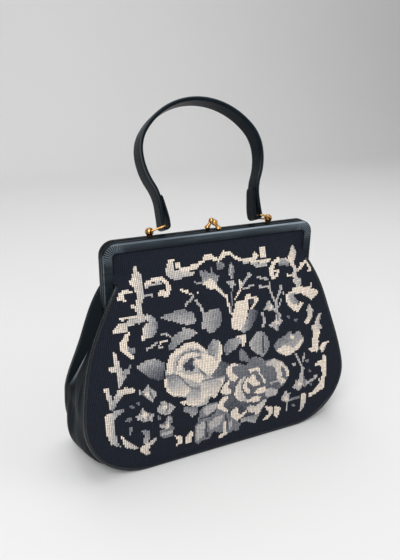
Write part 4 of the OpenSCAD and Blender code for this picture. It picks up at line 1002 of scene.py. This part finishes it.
SPRIGS = (
    area(M, 231, 262.5, 235, 269, 233, 278, 228, 271), line(L, 2, 231, 265, 230, 272),
    area(L, 227, 282, 234.5, 281, 235.4, 285, 231, 288.4), line(M, 1.6, 232, 288, 232, 303, 231, 313),
    line(C, 1.8, 235.4, 299, 241, 288, 240, 280), line(L, 1.8, 242, 285, 249, 275), line(L, 4.4, 249, 275),
    line(L, 2.2, 243.4, 289, 253.7, 285), line(L, 2.5, 257, 277, 267.5, 279),
    line(L, 2.5, 260, 286.6, 269, 286.6), line(L, 1.8, 270, 282, 270.6, 291, 274, 301),
    line(L, 2.2, 281, 285, 281, 289, 276.4, 300, 277, 312.5), line(L, 2.4, 283.6, 293),
    line(L, 1.6, 281, 300, 279, 306), area(L, 263.5, 310, 268.4, 300, 273, 305, 276.4, 311),
    line(C, 3, 270.6, 307), line(L, 2.5, 262, 313, 265, 320, 263, 327), line(M, 3, 289, 317),
    line(M, 3, 296, 320),
)
FOOT = (
    area(M, 198.7, 416.4, 200.6, 409, 208, 403.4, 215, 401.6, 218, 402.1, 220.3, 409.5, 227.7, 412.3,
         231.4, 416, 237, 421.5, 240.7, 422.5, 238.8, 429.9, 232.4, 430.8, 229.6, 432.6, 221.3, 437.3,
         219.9, 436.3, 223.1, 432.6, 213.9, 431.7, 208.3, 439.1, 202.4, 440.4, 198.7, 444.1, 195, 442.3,
         194.1, 426.5, 198.7, 421.9),
    area(L, 202, 411, 208, 405, 217.6, 403, 216.7, 409.6, 207, 415),
    area(L, 196, 427, 203, 421, 206, 424, 203, 436, 197, 441),
    area(L, 208, 424, 217, 416, 224, 415, 220, 424, 210, 430), line(D, 2, 200, 419, 208, 417, 216, 411),
    line(D, 2, 206, 422, 207, 437), line(D, 2, 226, 415, 227, 428), line(C, 3.5, 225, 423, 225, 433),
    line(C, 3, 223, 434.5, 220, 437), line(L, 2, 231, 421, 230, 429),
)
CHART = (
    *FOOT, *UPPER_LEFT_SCROLLS, *LEFT_SIDE_SCROLLS, *UPPER_RIGHT_SCROLLS, *RIGHT_SIDE_SCROLLS, *CARNATION,
    *UPPER_LEAVES, *SMALL_FLOWERS, *LEFT_ROSE, *RIGHT_ROSE, *BUDS, *SPRIGS,
)


def chart_wools(spots):
    """Place of each stitch in the range of wools, at the given pixels."""
    wools = np.full(len(spots), float(G))
    for first, last, way, width, points in CHART:
        hit = inside(width, points, spots)
        along = np.array((math.cos(math.radians(way)), math.sin(math.radians(way))))
        reach = points @ along
        share = (spots[hit] @ along - reach.min()) / max(np.ptp(reach), WELD)
        wools[hit] = first + (last - first) * np.clip(share, 0, 1)
    return wools


# Factors that scatter a column, a row and a seed, and the spread of the result
SCATTER_COLUMN, SCATTER_ROW, SCATTER_SEED, SCATTER_SPREAD = 12.9898, 78.233, 37.719, 43758.5453
MIXING_SEED, DEPTH_SEED = 1, 2

# Mesh columns to a column of stitches, in front and at the rear
FRONT_RIDGES, REAR_RIDGES = 2, 1


def scatter(columns, rows, seed):
    """Number from 0 to 1 for each stitch, always the same."""
    v = np.sin(columns * SCATTER_COLUMN + rows * SCATTER_ROW + seed * SCATTER_SEED) * SCATTER_SPREAD
    return v - np.floor(v)


def panel_mesh(form, cloth, ridges, rear):
    """Grid of stitches in the shape of a panel, facing the front."""
    pitch = cloth.stitch
    columns = 2 * math.ceil(form.half_width / pitch)
    rows = math.ceil(form.tuck_top / pitch)
    bm = bmesh.new()
    bmesh.ops.create_grid(bm, x_segments=columns * ridges, y_segments=rows, size=0.5)
    places = np.array([v.co for v in bm.verts])
    x = places[:, 0] * columns * pitch
    z = (places[:, 1] + 0.5) * rows * pitch
    y = -face_depth(form, x, z, rear)
    if ridges > 1:
        y -= cloth.relief * (np.rint((places[:, 0] + 0.5) * columns * ridges) % 2)
    for vert, px, py, pz in zip(bm.verts, x, y, z):
        vert.co = (px, py, pz)
    edge = 2 * form.welt_radius - cloth.hidden_edge

    def keep(middle):
        if middle.z < edge:
            return False
        if middle.z < form.seam_top:
            return abs(middle.x) < outline_half(form, middle.z, edge)
        if middle.z < form.settle_high:
            return abs(middle.x) < form.leg_inside + pitch
        return abs(middle.x) < form.tuck_half - max(0, middle.z - form.top)

    drop_faces(bm, keep)
    return bm


class HANDBAG_OT_needlepoint(bpy.types.Operator):
    """Works the two panels, stitch by stitch"""

    bl_idname = "handbag.needlepoint"
    bl_label = "Needlepoint panels"

    def execute(self, context):
        form, cloth = context.scene.bag_form, context.scene.bag_cloth
        bm = panel_mesh(form, cloth, FRONT_RIDGES, False)
        front = finish_piece("front_needlepoint", bm, wool_material())
        self.colour(front, cloth, charted=True)
        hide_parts("front_panel", "cream_stitches", "light_grey_stitches", "mid_grey_stitches")
        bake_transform(front)
        bm = panel_mesh(form, cloth, REAR_RIDGES, True)
        bmesh.ops.scale(bm, vec=(1, -1, 1), verts=bm.verts[:])
        bmesh.ops.reverse_faces(bm, faces=bm.faces[:])
        sag(form, bm)
        rear = finish_piece("rear_needlepoint", bm, wool_material())
        self.colour(rear, cloth, charted=False)
        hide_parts("rear_panel")
        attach(rear, "bag")
        return {"FINISHED"}

    def colour(self, obj, cloth, charted):
        """UV map in stitches, and the wool of each stitch."""
        mesh = obj.data
        set_uv(obj, "stitches", vertex_array(mesh)[:, [0, 2]] / cloth.stitch)
        middles = np.empty(len(mesh.polygons) * 3, dtype=np.float32)
        mesh.polygons.foreach_get("center", middles)
        middles = middles.reshape(-1, 3).astype(float)
        column = np.floor(middles[:, 0] / cloth.stitch)
        row = np.floor(middles[:, 2] / cloth.stitch)
        middles[:, 0] = (column + 0.5) * cloth.stitch
        middles[:, 2] = (row + 0.5) * cloth.stitch
        wool = chart_wools(photo_pixels(middles)) if charted else np.full(len(middles), float(G))
        mixed = wool + cloth.mixing * (scatter(column, row, MIXING_SEED) - 0.5)
        wool = np.clip(np.where(wool < G, mixed, wool), C, G)
        paler = np.minimum(np.floor(wool).astype(int), D)
        share = (wool - paler)[:, None]
        wools = np.array([cloth.cream, cloth.light, cloth.mid, cloth.dark, cloth.ground])
        tint = wools[paler] * (1 - share) + wools[paler + 1] * share
        tint = tint * (1 + cloth.unevenness * (scatter(column, row, DEPTH_SEED) - 0.5))[:, None]
        sides = np.empty(len(mesh.polygons), dtype=np.int32)
        mesh.polygons.foreach_get("loop_total", sides)
        tint = np.concatenate([tint, np.ones((len(tint), 1))], axis=1)
        layer = mesh.color_attributes.new("wool", "FLOAT_COLOR", "CORNER")
        layer.data.foreach_set("color", np.repeat(tint, sides, axis=0).astype(np.float32).ravel())


# Rings along half of the piping, and points of each ring
WELT_RINGS, WELT_POINTS = 90, 14


class HANDBAG_OT_piping(bpy.types.Operator):
    """Runs the leather piping round both panels"""

    bl_idname = "handbag.piping"
    bl_label = "Piping"

    def execute(self, context):
        form = context.scene.bag_form
        for name, node, side in (("front_welt", "front_piping", -1), ("rear_welt", "rear_piping", 1)):
            rings = []
            for k in range(-WELT_RINGS, WELT_RINGS + 1):
                station = outline_at(form, abs(k) / WELT_RINGS, form.seam_top)
                p = outline_point(station, form.welt_radius)
                hand = -1 if k < 0 else 1
                y = side * (float(face_depth(form, p.x, p.y, side > 0)) - form.panel_thickness / 2)
                middle = Vector((hand * p.x, y, p.y))
                out = outwards(station[2], hand)
                rings.append([
                    middle + form.welt_radius * (math.cos(t) * out + math.sin(t) * Vector((0, 1, 0)))
                    for t in (2 * math.pi * n / WELT_POINTS for n in range(WELT_POINTS))
                ])
            bm = tube(rings)
            sag(form, bm)
            welt = finish_piece(name, bm, leather_material("Piping leather"))
            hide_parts(node)
            if side < 0:
                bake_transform(welt)
            else:
                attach(welt, "bag")
        return {"FINISHED"}


# The gusset's fold: how fast it deepens, and the bow of its front and rear slopes
FOLD_RATE, FRONT_BOW, REAR_BOW = 3, 1.3, 1.2

# Turn of the outline over which the gusset sinks behind the piping, and over which it is uneven
SINK_TURN = (-math.pi / 2, -math.pi / 6)
UNEVEN_TURN = (-math.pi / 2.2, -math.pi / 8)

# Broad and fine unevenness of the gusset: noise to the metre, how far it moves the leather, and its middle
BROAD_NOISE, BROAD_REACH = (8, 55, 16), 0.0014
FINE_NOISE, FINE_REACH, FINE_SHIFT = (20, 130, 45), 0.0005, 4
NOISE_MIDDLE = 0.0006

# Painted light on the gusset: how fast the painted highlight along the crease starts, its width in front and
# behind, and where painted shade fills the fold
CREASE_RATE, CREASE_FRONT, CREASE_REAR, FOLD_SHADE_RANGE = 2.5, 0.16, 0.05, (0.03, 0.12)

# Painted highlight in a soft spot low on its side: height, half height, place and half width across, least
# share and strength
SPOT_HEIGHT, SPOT_HALF, SPOT_PLACE, SPOT_WIDTH, SPOT_REST, SPOT_HIGHLIGHT = 0.070, 0.030, -0.1, 0.45, 0.5, 0.07
GUSSET_COLUMNS, GUSSET_ROWS = 88, 260


def noise_at(point, scale, shift=0):
    """Noise at a point, with its own scale along each axis."""
    return noise.noise(Vector((point.x * scale[0], point.y * scale[1] + shift, point.z * scale[2])))


def fold_at(form, c, up):
    """Depth of the gusset's fold at c across and up, with the place of its crease."""
    crease = form.crease_low + (form.crease_high - form.crease_low) * up
    crest = form.crest * up ** form.crest_power
    valley = crease + form.valley * (1 - crease)
    bottom = crest + (form.fold_depth - form.crest) * min(1, FOLD_RATE * up)
    if c < crease:
        return crest * ((c + 1) / (crease + 1)) ** FRONT_BOW, crease
    if c < valley:
        return crest + (bottom - crest) * math.sin(math.pi / 2 * (c - crease) / (valley - crease)), crease
    return bottom * (1 - (c - valley) / (1 - valley)) ** REAR_BOW, crease


def strip_place(form, inset, inner, lower, u, v):
    """Point of the gusset or of its lining, u across from front to rear and v along from left to right."""
    c = 2 * u - 1
    along = 2 * v - 1
    hand = -1 if along < 0 else 1
    lip = float(soft(form.lip_start, form.lip_end, abs(c)))
    top = form.fold_top + (form.seam_top - form.fold_top) * lip - lower
    station = outline_at(form, abs(along), top)
    edge = outline_point(station, inset + form.welt_radius)
    up = min(1, max(0, (edge.y - form.fold_foot) / (form.hinge_height - form.fold_foot)))
    deep, crease = fold_at(form, c, up)
    sunk = form.gusset_inset * float(soft(*SINK_TURN, station[2]))
    p = outline_point(station, inset + sunk + deep)
    y = float(face_depth(form, edge.x, edge.y, c > 0))
    y = y - form.panel_thickness / 2 - form.welt_radius - form.seat - inner
    return Vector((hand * p.x, c * y, p.y)), station[2], hand, c - crease, up


class HANDBAG_OT_gusset(bpy.types.Operator):
    """Folds the leather gusset under the hinges"""

    bl_idname = "handbag.gusset"
    bl_label = "Gusset"

    def execute(self, context):
        form = context.scene.bag_form
        painted_light = []

        def place(u, v):
            point, angle, hand, past, up = strip_place(form, 0.0, 0.0, 0.0, u, v)
            c = 2 * u - 1
            side = float(soft(*UNEVEN_TURN, angle))
            broad = noise_at(point, BROAD_NOISE)
            fine = noise_at(point, FINE_NOISE, FINE_SHIFT)
            shift = side * (1 - c * c) * (BROAD_REACH * broad + FINE_REACH * fine - NOISE_MIDDLE)
            shift += form.corner_bulge * (1 - c ** 4) * math.sin(2 * min(angle, 0)) ** 2
            # Painted highlight along the crease and in a soft spot low on the side, and painted shade inside
            # the fold
            reach = min(1, CREASE_RATE * up)
            spot = ((point.z - SPOT_HEIGHT) / SPOT_HALF) ** 2 + ((c - SPOT_PLACE) / SPOT_WIDTH) ** 2
            spot = SPOT_HIGHLIGHT * math.exp(-spot) * side * (SPOT_REST + broad)
            crease = reach * math.exp(-(past / (CREASE_FRONT if past < 0 else CREASE_REAR)) ** 2)
            painted_light.append((max(crease, spot), reach * float(soft(*FOLD_SHADE_RANGE, past))))
            return point + shift * outwards(angle, hand)

        bm = grid(GUSSET_COLUMNS, GUSSET_ROWS, place)
        # Painted highlight and painted fold shade, kept on the gusset's points
        worn, shut = (bm.verts.layers.float.new(name) for name in ("worn", "shut"))
        for vert, mark in zip(bm.verts, painted_light):
            vert[worn], vert[shut] = mark
        sag(form, bm)
        bmesh.ops.recalc_face_normals(bm, faces=bm.faces[:])
        bmesh.ops.solidify(bm, geom=bm.faces[:], thickness=form.gusset_thickness)
        gusset = finish_piece("leather_gusset", bm, leather_material("Gusset leather"))
        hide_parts("gusset")
        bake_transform(gusset)
        return {"FINISHED"}


# Gaps between the lining and the frame, above and beside the legs, and the grids of wall and strip
LINING_TOP_GAP, LINING_LEG_GAP = 0.001, 0.004
WALL_GRID, STRIP_GRID = (80, 70), (44, 160)


class HANDBAG_OT_lining(bpy.types.Operator):
    """Lines the inside with plain cloth"""

    bl_idname = "handbag.lining"
    bl_label = "Lining"

    def execute(self, context):
        form, cloth = context.scene.bag_form, context.scene.bag_cloth
        reach = form.lining_depth - form.panel_thickness / 2 - form.welt_radius + form.lining_gap

        def wall(side):
            def place(u, v):
                z = form.lining_inset + v * (form.top - LINING_TOP_GAP - form.lining_inset)
                half = form.leg_inside - LINING_LEG_GAP
                if z < form.seam_top:
                    half = float(outline_half(form, z, form.lining_inset))
                x = (2 * u - 1) * half
                return Vector((x, side * (float(face_depth(form, x, z, side > 0)) - form.lining_depth), z))
            return place

        def strip(u, v):
            return strip_place(form, form.lining_inset, reach, form.lining_drop, u, v)[0]

        wall_cut = (2 * form.half_width, form.top)
        strip_cut = (cloth.lining_strip_width, cloth.lining_strip_length)
        for name, size, place, cut in (
            ("front_lining", WALL_GRID, wall(-1), wall_cut),
            ("rear_lining", WALL_GRID, wall(1), wall_cut),
            ("side_lining", STRIP_GRID, strip, strip_cut),
        ):
            bm = grid(*size, place)
            if name == "rear_lining":
                bmesh.ops.reverse_faces(bm, faces=bm.faces[:])
            sag(form, bm)
            material = cloth_material("Lining cloth", cloth.lining, Scale=900.0, Detail=4.0)
            lining = finish_piece(name, bm, material)
            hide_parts("lining")
            if name == "front_lining":
                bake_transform(lining)
            elif name == "side_lining":
                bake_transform(lining)
            else:
                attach(lining, "bag")
        return {"FINISHED"}


# Arcs of the strap's outer face from its top down: centre across and up, radius, side of that arc on which
# the leather lies, first and last angle in degrees, steps
STRAP_ARCS = (
    (0, 0.050, 0.072, -1, 90, 37.56, 26),
    (0.02601, 0.070, 0.03919, -1, 37.56, 0, 14),
    (0.00261, 0.070, 0.06259, -1, 0, -27.4, 14),
    (0.09522, 0.022, 0.04172, 1, 152.6, 180, 12),
)

# Straight end of the strap: its outer face, its top, and where it thins, with the steps down to the loop
END_OUTER, END_TOP, THIN_RANGE, END_STEPS = 0.0535, 0.022, (0.012, 0.004), 7

# Steps round a loop and up a folded back end, where that end starts to lean, and its tip
LOOP_STEPS, TONGUE_STEPS, TONGUE_LEAN, TONGUE_TIP = 12, 12, (0.1, 1), 0.6
TIP_BREADTHS = (0.7, 0.88, 0.97)

# Rings at each end that don't swell, and the height over which the others do
PLAIN_RINGS, SWELL_RANGE = 25, (0.015, 0.045)

# Section of the strap: points, and how square it is across and through
SECTION_POINTS, SQUARE_ACROSS, SQUARE_THROUGH = 28, 0.28, 0.42

# Painted highlight on the strap's rubbed edges: share of the half width, and how far they face up or out
RUB_HIGHLIGHT_EDGE, RUB_HIGHLIGHT_FACING = (0.82, 0.98), (0.0, 0.4)


def arc(cx, cz, radius, start, end, count):
    """Points of an arc between two angles in degrees."""
    turns = (math.radians(start + (end - start) * k / count) for k in range(count + 1))
    return [Vector((cx + radius * math.cos(turn), cz + radius * math.sin(turn))) for turn in turns]


class HANDBAG_OT_handle(bpy.types.Operator):
    """Bends the strap through the rings and over the top"""

    bl_idname = "handbag.handle"
    bl_label = "Handle strap"

    def execute(self, context):
        handle = context.scene.bag_handle
        path = self.path(handle)
        wide = Vector((0, math.cos(handle.lean), -math.sin(handle.lean)))
        up = Vector((0, math.sin(handle.lean), math.cos(handle.lean)))
        pivot = Vector((0, handle.pivot_depth, handle.pivot_height))
        rings = []
        for k, (p, thick) in enumerate(path):
            before, after = path[max(k - 1, 0)][0], path[min(k + 1, len(path) - 1)][0]
            run = (after - before).normalized()
            out = Vector((-run.y, run.x))
            middle = pivot + Vector((p.x, 0, 0)) + p.y * up
            face = Vector((out.x, 0, 0)) + out.y * up
            end = min(k, len(path) - 1 - k)
            breadth = handle.width * (TIP_BREADTHS[end] if end < len(TIP_BREADTHS) else 1)
            if end > PLAIN_RINGS:
                breadth += handle.swell * float(soft(*SWELL_RANGE, p.y))
            ring = []
            for n in range(SECTION_POINTS):
                turn = 2 * math.pi * n / SECTION_POINTS
                cs, sn = math.cos(turn), math.sin(turn)
                w = breadth / 2 * math.copysign(abs(cs) ** SQUARE_ACROSS, cs)
                t = thick / 2 * math.copysign(abs(sn) ** SQUARE_THROUGH, sn)
                ring.append(middle + w * wide + t * face)
            rings.append(ring)
        bm = tube(rings)
        # Painted highlight along the strap's rubbed edges where they face up or out
        worn = bm.verts.layers.float.new("worn")
        half = handle.width / 2 + handle.swell / 2
        for vert in bm.verts:
            at_edge = float(soft(*RUB_HIGHLIGHT_EDGE, abs((vert.co - pivot).dot(wide)) / half))
            facing = max(vert.normal.dot(up), math.copysign(vert.normal.x, vert.normal.x * vert.co.x))
            vert[worn] = handle.rub_and_highlight * at_edge * float(soft(*RUB_HIGHLIGHT_FACING, facing))
        strap = finish_piece("leather_strap", bm, leather_material())
        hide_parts("handle_strap")
        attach(strap, "handle")
        return {"FINISHED"}

    def path(self, handle):
        """Middle line of the strap from end to end, with its thickness at each point."""
        right = []
        for cx, cz, radius, side, start, end, count in STRAP_ARCS:
            points = arc(cx, cz, radius + side * handle.thickness / 2, start, end, count)
            right += [(p, handle.thickness) for p in points[1 if right else 0:]]
        loop_x = END_OUTER - handle.tongue / 2 - handle.loop
        loop_z = handle.bar_height + handle.loop_rise
        for k in range(1, END_STEPS + 1):
            z = END_TOP + (loop_z - END_TOP) * k / END_STEPS
            thick = handle.thickness + (handle.tongue - handle.thickness) * float(soft(*THIN_RANGE, z))
            right.append((Vector((END_OUTER - thick / 2, z)), thick))
        loop = arc(loop_x, loop_z, handle.loop, 0, -180, LOOP_STEPS)
        right += [(p, handle.tongue) for p in loop[1:]]
        foot = loop_x - handle.loop
        for k in range(1, TONGUE_STEPS + 1):
            z = loop_z + (handle.tongue_top - loop_z) * k / TONGUE_STEPS
            x = foot + (handle.tongue_rest - foot) * float(soft(*TONGUE_LEAN, k / TONGUE_STEPS))
            right.append((Vector((x, z)), handle.tongue * (1 if k < TONGUE_STEPS else TONGUE_TIP)))
        return [(Vector((-p.x, p.y)), t) for p, t in reversed(right)] + right[1:]


# Share of the steel's colour where it is dull
STEEL_DULL = 0.6


class HANDBAG_OT_fittings(bpy.types.Operator):
    """Gives the frame, its leather, the rings, studs, knobs and rivets their finish"""

    bl_idname = "handbag.fittings"
    bl_label = "Frame and fittings"

    def execute(self, context):
        metal = context.scene.bag_metal
        brass = metal_material("Old brass", metal.brass, metal.tarnish)
        steel = metal_material("Plated steel", metal.steel, [STEEL_DULL * v for v in metal.steel])
        board = cloth_material("Base board", metal.board, Scale=300.0, Detail=4.0)
        finishes = {
            leather_material("Frame leather"): ("front_frame_leather", "rear_frame_leather"),
            steel: ("front_frame", "rear_frame", "left_hinge_rivet", "right_hinge_rivet"),
            board: ("base_board",),
            brass: (
                "front_clasp_knob", "rear_clasp_knob",
                "left_handle_stud", "right_handle_stud", "left_ring", "right_ring",
            ),
        }
        for material, names in finishes.items():
            for name in names:
                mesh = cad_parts[name].data
                mesh.materials.clear()
                mesh.materials.append(material)
        return {"FINISHED"}


# Floor: half its width, the line behind at which it bends, radius and steps of the bend, height of the wall
FLOOR_HALF, FLOOR_BACK, FLOOR_BEND, FLOOR_STEPS, WALL_HEIGHT = 3.0, 1.4, 0.6, 16, 3.0
RIM_DEPTH = 0.001

# Lights: name of the power, size and place, and the point that they face
LIGHTS = (("key", 1.4, (-1.0, -1.3, 1.7)), ("fill", 1.6, (1.6, -0.9, 1.1)), ("top", 1.6, (0.1, 0.5, 2.0)))
LIGHT_AIM = (0, 0, 0.15)


class HANDBAG_OT_stage(bpy.types.Operator):
    """Sets the floor, the lights and the camera"""

    bl_idname = "handbag.stage"
    bl_label = "Stage"

    def execute(self, context):
        stage = context.scene.bag_stage
        self.floor(stage)
        for name, size, place in LIGHTS:
            data = bpy.data.lights.new(name, "AREA")
            data.energy = getattr(stage, name)
            data.shape = "DISK"
            data.size = size
            lamp = bpy.data.objects.new(name, data)
            lamp.location = place
            lamp.rotation_euler = (Vector(LIGHT_AIM) - Vector(place)).to_track_quat("-Z", "Y").to_euler()
            context.collection.objects.link(lamp)
        world = bpy.data.worlds.new("Soft room")
        world.use_nodes = True
        fill(world.node_tree, world.node_tree.nodes["Background"], Color=(1, 1, 1, 1), Strength=stage.sky)
        context.scene.world = world
        right, down, forward = camera_axes()
        data = bpy.data.cameras.new("camera")
        data.sensor_width = SENSOR
        data.lens = FOCAL_PIXELS * SENSOR / PHOTO_LONG_SIDE
        camera = bpy.data.objects.new("camera", data)
        turn = Matrix((right, -down, -forward)).transposed().to_4x4()
        camera.matrix_world = Matrix.Translation(CAMERA_PLACE) @ turn
        context.collection.objects.link(camera)
        context.scene.camera = camera
        context.scene.view_settings.view_transform = "Standard"
        return {"FINISHED"}

    def floor(self, stage):
        """Floor that bends up into a wall behind."""
        bm = bmesh.new()
        bmesh.ops.create_grid(bm, x_segments=1, y_segments=1, size=FLOOR_HALF)
        back = [e for e in bm.edges if all(v.co.y > 0 for v in e.verts)]
        ends = list({v for e in back for v in e.verts})
        bmesh.ops.translate(bm, verts=ends, vec=(0, FLOOR_BACK - FLOOR_HALF, 0))
        bmesh.ops.spin(
            bm, geom=back, cent=(0, FLOOR_BACK, FLOOR_BEND), axis=(1, 0, 0), angle=math.pi / 2,
            steps=FLOOR_STEPS, use_duplicate=False,
        )
        top = max(v.co.z for v in bm.verts)
        rim = [e for e in bm.edges if all(v.co.z > top - RIM_DEPTH for v in e.verts)]
        raised = bmesh.ops.extrude_edge_only(bm, edges=rim)["geom"]
        raised = [g for g in raised if isinstance(g, bmesh.types.BMVert)]
        bmesh.ops.translate(bm, verts=raised, vec=(0, 0, WALL_HEIGHT))
        material = cloth_material("Pale floor", stage.floor, FLOOR_SHADES, Scale=3.0, Detail=2.0)
        finish_piece("floor", bm, material)


class HANDBAG_PT_panel(bpy.types.Panel):
    """Buttons and sizes of the handbag"""

    bl_idname = "HANDBAG_PT_panel"
    bl_label = "Tapestry handbag"
    bl_space_type = "VIEW_3D"
    bl_region_type = "UI"
    bl_category = "Handbag"

    def draw(self, context):
        layout = self.layout
        for operator in OPERATORS:
            layout.operator(operator.bl_idname)
        for group, _ in GROUPS:
            box = layout.box()
            settings = getattr(context.scene, group)
            for name in settings.__annotations__:
                box.prop(settings, name)


GROUPS = (
    ("bag_form", BagForm), ("bag_cloth", BagCloth), ("bag_metal", BagMetal), ("bag_handle", BagHandle),
    ("bag_stage", BagStage),
)
OPERATORS = (
    HANDBAG_OT_stage, HANDBAG_OT_needlepoint, HANDBAG_OT_piping, HANDBAG_OT_gusset, HANDBAG_OT_lining,
    HANDBAG_OT_handle, HANDBAG_OT_fittings,
)


def register():
    for name, group in GROUPS:
        bpy.utils.register_class(group)
        setattr(bpy.types.Scene, name, bpy.props.PointerProperty(type=group))
    for cls in (*OPERATORS, HANDBAG_PT_panel):
        bpy.utils.register_class(cls)


def unregister():
    for cls in reversed((*OPERATORS, HANDBAG_PT_panel)):
        bpy.utils.unregister_class(cls)
    for name, group in reversed(GROUPS):
        delattr(bpy.types.Scene, name)
        bpy.utils.unregister_class(group)


def main():
    register()
    bpy.ops.handbag.stage()
    bpy.ops.handbag.needlepoint()
    bpy.ops.handbag.piping()
    bpy.ops.handbag.gusset()
    bpy.ops.handbag.lining()
    bpy.ops.handbag.handle()
    bpy.ops.handbag.fittings()


if __name__ == "__main__":
    main()
